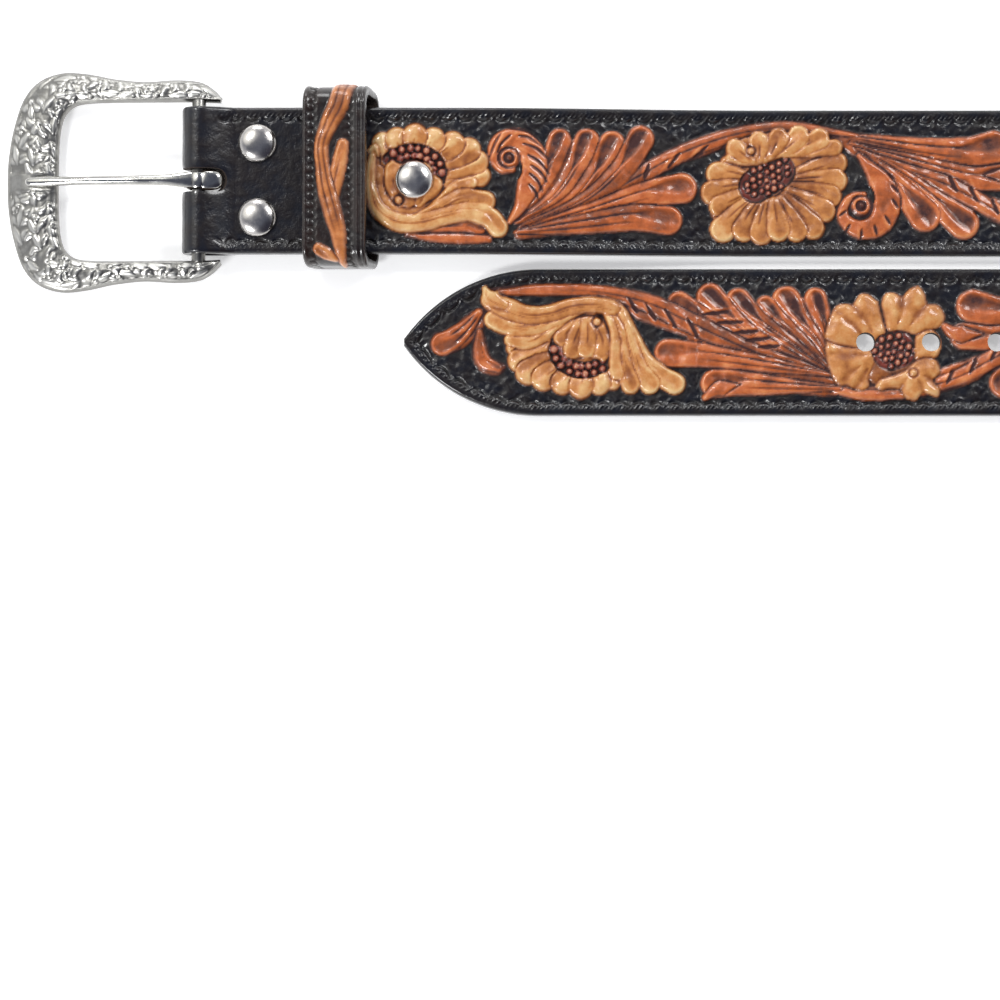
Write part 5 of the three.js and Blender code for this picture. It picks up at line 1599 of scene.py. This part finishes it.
def forged_shank(bar):
    """A circle drawn out along the prong's way, and shaped ring by ring"""
    select_none()
    bpy.ops.mesh.primitive_circle_add(vertices=24, radius=MM, fill_type="NGON", rotation=(0, math.pi / 2, 0))
    shank = bpy.context.active_object
    shank.name = "prong_shank"
    bpy.ops.object.transform_apply(location=True, rotation=True, scale=True)
    rows = curve([row[:2] for row in PRONG_WAY], 5)
    size = curve([row[2:] for row in PRONG_WAY], 5)
    rows = np.vstack([rows, rows[-1] + (-0.45, -0.03), rows[-1] + (-0.65, -0.05)])
    size = np.vstack([size, size[-1] * 0.62, size[-1] * 0.15])
    with editing(shank):
        for _ in range(len(rows) - 1):
            bpy.ops.mesh.extrude_region_move(TRANSFORM_OT_translate={"value": (-MM, 0, 0)})
    for vertex in shank.data.vertices:
        step = round(-vertex.co.x / MM)
        (x, z), (wide, thick) = rows[step], size[step]
        y, up = vertex.co.y / MM, vertex.co.z / MM
        vertex.co = bar + Vector((x, y * wide, z - BAR_HEIGHT + up * thick)) * MM
    with editing(shank):
        bpy.ops.mesh.normals_make_consistent(inside=False)
    bpy.ops.object.shade_smooth_by_angle(angle=math.radians(50))
    return shank


def rolled_curl(bar):
    """The prong's end, rolled over the bar: a cube rounded to a soft block"""
    select_none()
    bpy.ops.mesh.primitive_cube_add(size=2)
    curl = bpy.context.active_object
    curl.name = "prong_curl"
    with editing(curl):
        bpy.ops.mesh.subdivide(number_cuts=9)
    half = Vector(CURL_SIZE) / 2
    for vertex in curl.data.vertices:
        x, y, z = vertex.co / sum(abs(c) ** CURL_SQUARE for c in vertex.co) ** (1 / CURL_SQUARE)
        place = Vector((x * half.x, y * half.y * (1 - 0.12 * x), z * half.z - 0.25 * x))
        vertex.co = bar + (Vector(CURL_MIDDLE) + place) * MM
    bpy.ops.object.shade_smooth_by_angle(angle=math.radians(60))
    return curl


def spun(name, points, centre, axis, steps, closed):
    """A piece spun round the axis from its section, with its seam and poles merged"""
    mesh = bpy.data.meshes.new(name)
    count = len(points)
    mesh.from_pydata(points, [(k, (k + 1) % count) for k in range(count if closed else count - 1)], [])
    piece = placed(name, mesh)
    with editing(piece):
        bpy.ops.mesh.spin(steps=steps, angle=2 * math.pi, center=centre, axis=axis)
        bpy.ops.mesh.select_all(action="SELECT")
        bpy.ops.mesh.remove_doubles(threshold=0.000004)
        bpy.ops.mesh.normals_make_consistent(inside=False)
    bpy.ops.object.shade_smooth_by_angle(angle=math.radians(38))
    return piece


def spun_ring(bar):
    """The prong's ring round the bar, with rounded rims"""
    soft = RING_SOFT
    inner, outer, half = RING_INNER * MM, RING_OUTER * MM, RING_WIDTH * MM / 2
    side = [(inner, half - soft), (inner + soft, half), (outer - 2 * soft, half),
            (outer - soft * 0.6, half - soft * 0.6), (outer, half - 2 * soft)]
    section = [(r, -y) for r, y in side] + side[::-1]
    return spun("prong_ring", [(bar.x + r, bar.y + y, bar.z) for r, y in section], bar, (0, 1, 0), 56, True)


class BELT_OT_prong(Piece, bpy.types.Operator):
    """Forge the prong: a tapered shank that ends in a ring round the bar"""

    bl_idname = "belt.prong"
    bl_label = "Prong"

    def execute(self, context):
        silver = context.scene.belt_finish.silver_colour
        steel = bright_metal("polished_prong", scaled(silver, 0.85), 0.16, brushed=0.5)
        for make in (forged_shank, spun_ring, rolled_curl):
            dress(make(Vector(BAR_PLACE)), "prong", "prong_metal", "prong", steel)
        return {"FINISHED"}


class BELT_OT_snaps(Piece, bpy.types.Operator):
    """Spin the three domed snaps"""

    bl_idname = "belt.snaps"
    bl_label = "Snaps"

    def execute(self, context):
        finish = context.scene.belt_finish
        nickel = bright_metal("satin_nickel", tuple(finish.nickel_colour), 0.22, brushed=0.3)
        for node in ("snap_upper", "snap_lower", "snap_flower"):
            low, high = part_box(node)
            middle = Vector(((low.x + high.x) / 2, (low.y + high.y) / 2, 0))
            radius = (high.x - low.x) / 2
            seat, flange = high.z - DOME_HEIGHT, low.z + FLANGE_THICKNESS
            profile = [(0, low.z), (FLANGE_RADIUS, low.z), (FLANGE_RADIUS, flange), (POST_RADIUS, flange),
                       (POST_RADIUS, seat), (radius * 0.93, seat)]
            for turn in np.linspace(0, math.pi / 2, 13)[:-1]:
                profile.append((radius * math.cos(turn) ** DOME_SQUARENESS,
                                seat + DOME_RIM + (DOME_HEIGHT - DOME_RIM) * math.sin(turn)))
            profile.append((0.0, high.z))
            points = [(middle.x + r, middle.y, z) for r, z in profile]
            piece = spun(node + "_cap", points, middle, (0, 0, 1), 48, False)
            dress(piece, "strap", "snap_metal", node, nickel)
        return {"FINISHED"}


# Stage

VIEW_MIDDLE = (-0.1691, -0.0615, 0.0)
VIEW_TILT = 4.0
VIEW_DISTANCE = 1.2
VIEW_SCALE = 3.861
PICTURE_SIZE = 1000
SENSOR = 36
SKY_TONES = [(0.0, WHITE), (0.25, (0.90, 0.91, 0.93)), (0.62, (0.42, 0.43, 0.47)), (0.85, (0.09, 0.10, 0.14))]
# A bright panel and a dark one: the way to its middle, where it starts and is full, and its light
SKY_PANELS = (((-0.45, 0.42, 0.79), 0.90, 0.97, (1.3, 1.3, 1.25)),
              ((0.55, -0.50, 0.67), 0.78, 0.93, (0.03, 0.03, 0.05)))
LIGHTS = (("key", (-0.50, -0.50, 0.72), 0.24, 5.5), ("fill", (0.50, 0.55, 0.70), 0.30, 3.2),
          ("rim", (-0.10, 0.95, 0.45), 0.30, 2.0), ("spark", (-0.46, 0.55, 1.0), 0.12, 2.4))


def lay_floor():
    select_none()
    bpy.ops.mesh.primitive_plane_add(size=6, location=(0, 0, -0.0002))
    floor = bpy.context.active_object
    floor.name = "floor"
    bpy.ops.object.transform_apply(location=True, rotation=True, scale=True)
    material, tree, bsdf = shader("pale_floor")
    speckle = add(tree, "ShaderNodeTexNoise", Vector=object_place(tree), Scale=40.0, Detail=2.0)
    tones = ramp(tree, speckle.outputs[0], [(0.3, scaled(WHITE, 0.90)), (0.7, scaled(WHITE, 0.93))])
    fill(tree, bsdf, Base_Color=tones, Roughness=0.9, Emission_Color=(*WHITE, 1), Emission_Strength=0.42)
    floor.data.materials.append(material)


def studio_sky():
    """Light from all round, dark overhead, with one bright panel and one dark one"""
    world = bpy.data.worlds.new("studio")
    world.use_nodes = True
    sky = world.node_tree
    way = add(sky, "ShaderNodeTexCoord").outputs["Generated"]
    upward = add(sky, "ShaderNodeSeparateXYZ", Vector=way).outputs["Z"]
    tones = ramp(sky, upward, SKY_TONES)
    for middle, starts, full, light in SKY_PANELS:
        facing = add(sky, "ShaderNodeVectorMath", operation="DOT_PRODUCT", Vector=way)
        put(sky, facing.inputs[1], middle)
        mask = ramp(sky, facing.outputs["Value"], [(starts, BLACK), (full, WHITE)])
        tones = mix_colour(sky, mask, tones, light)
    fill(sky, sky.nodes["Background"], Color=tones, Strength=1.0)
    return world


class BELT_OT_stage(Piece, bpy.types.Operator):
    """Lay the pale floor, set the soft lights and the camera"""

    bl_idname = "belt.stage"
    bl_label = "Stage"

    def execute(self, context):
        lay_floor()
        context.scene.world = studio_sky()
        context.scene.view_settings.view_transform = "Standard"
        middle = Vector(VIEW_MIDDLE)
        for name, place, size, power in LIGHTS:
            bpy.ops.object.light_add(type="AREA", location=middle + Vector(place))
            light = bpy.context.active_object
            light.name = name
            light.data.size = size
            light.data.energy = power
            light.rotation_euler = (middle - light.location).to_track_quat("-Z", "Y").to_euler()
        tilt = math.radians(VIEW_TILT)
        away = Vector((0, -math.sin(tilt), math.cos(tilt))) * VIEW_DISTANCE
        bpy.ops.object.camera_add(location=middle + away)
        camera = bpy.context.active_object
        camera.rotation_euler = (-away).to_track_quat("-Z", "Y").to_euler()
        camera.data.sensor_width = SENSOR
        camera.data.lens = SENSOR * VIEW_SCALE * VIEW_DISTANCE / MM / PICTURE_SIZE
        camera.data.clip_start = 0.01
        context.scene.camera = camera
        return {"FINISHED"}


class BELT_PT_pieces(bpy.types.Panel):
    """The belt's pieces and its finish"""

    bl_idname = "BELT_PT_pieces"
    bl_label = "Carved Belt"
    bl_space_type = "VIEW_3D"
    bl_region_type = "UI"
    bl_category = "Belt"

    def draw(self, context):
        for operator in OPERATORS:
            self.layout.operator(operator.bl_idname)
        for name in BeltFinish.__annotations__:
            self.layout.prop(context.scene.belt_finish, name)


OPERATORS = (BELT_OT_strap, BELT_OT_keeper, BELT_OT_buckle, BELT_OT_prong, BELT_OT_snaps, BELT_OT_stage)
CLASSES = (BeltFinish, *OPERATORS, BELT_PT_pieces)


def register():
    for cls in CLASSES:
        bpy.utils.register_class(cls)
    bpy.types.Scene.belt_finish = bpy.props.PointerProperty(type=BeltFinish)


def unregister():
    del bpy.types.Scene.belt_finish
    for cls in reversed(CLASSES):
        bpy.utils.unregister_class(cls)


def main():
    register()
    bpy.ops.belt.strap()
    bpy.ops.belt.keeper()
    bpy.ops.belt.buckle()
    bpy.ops.belt.prong()
    bpy.ops.belt.snaps()
    bpy.ops.belt.stage()


if __name__ == "__main__":
    main()
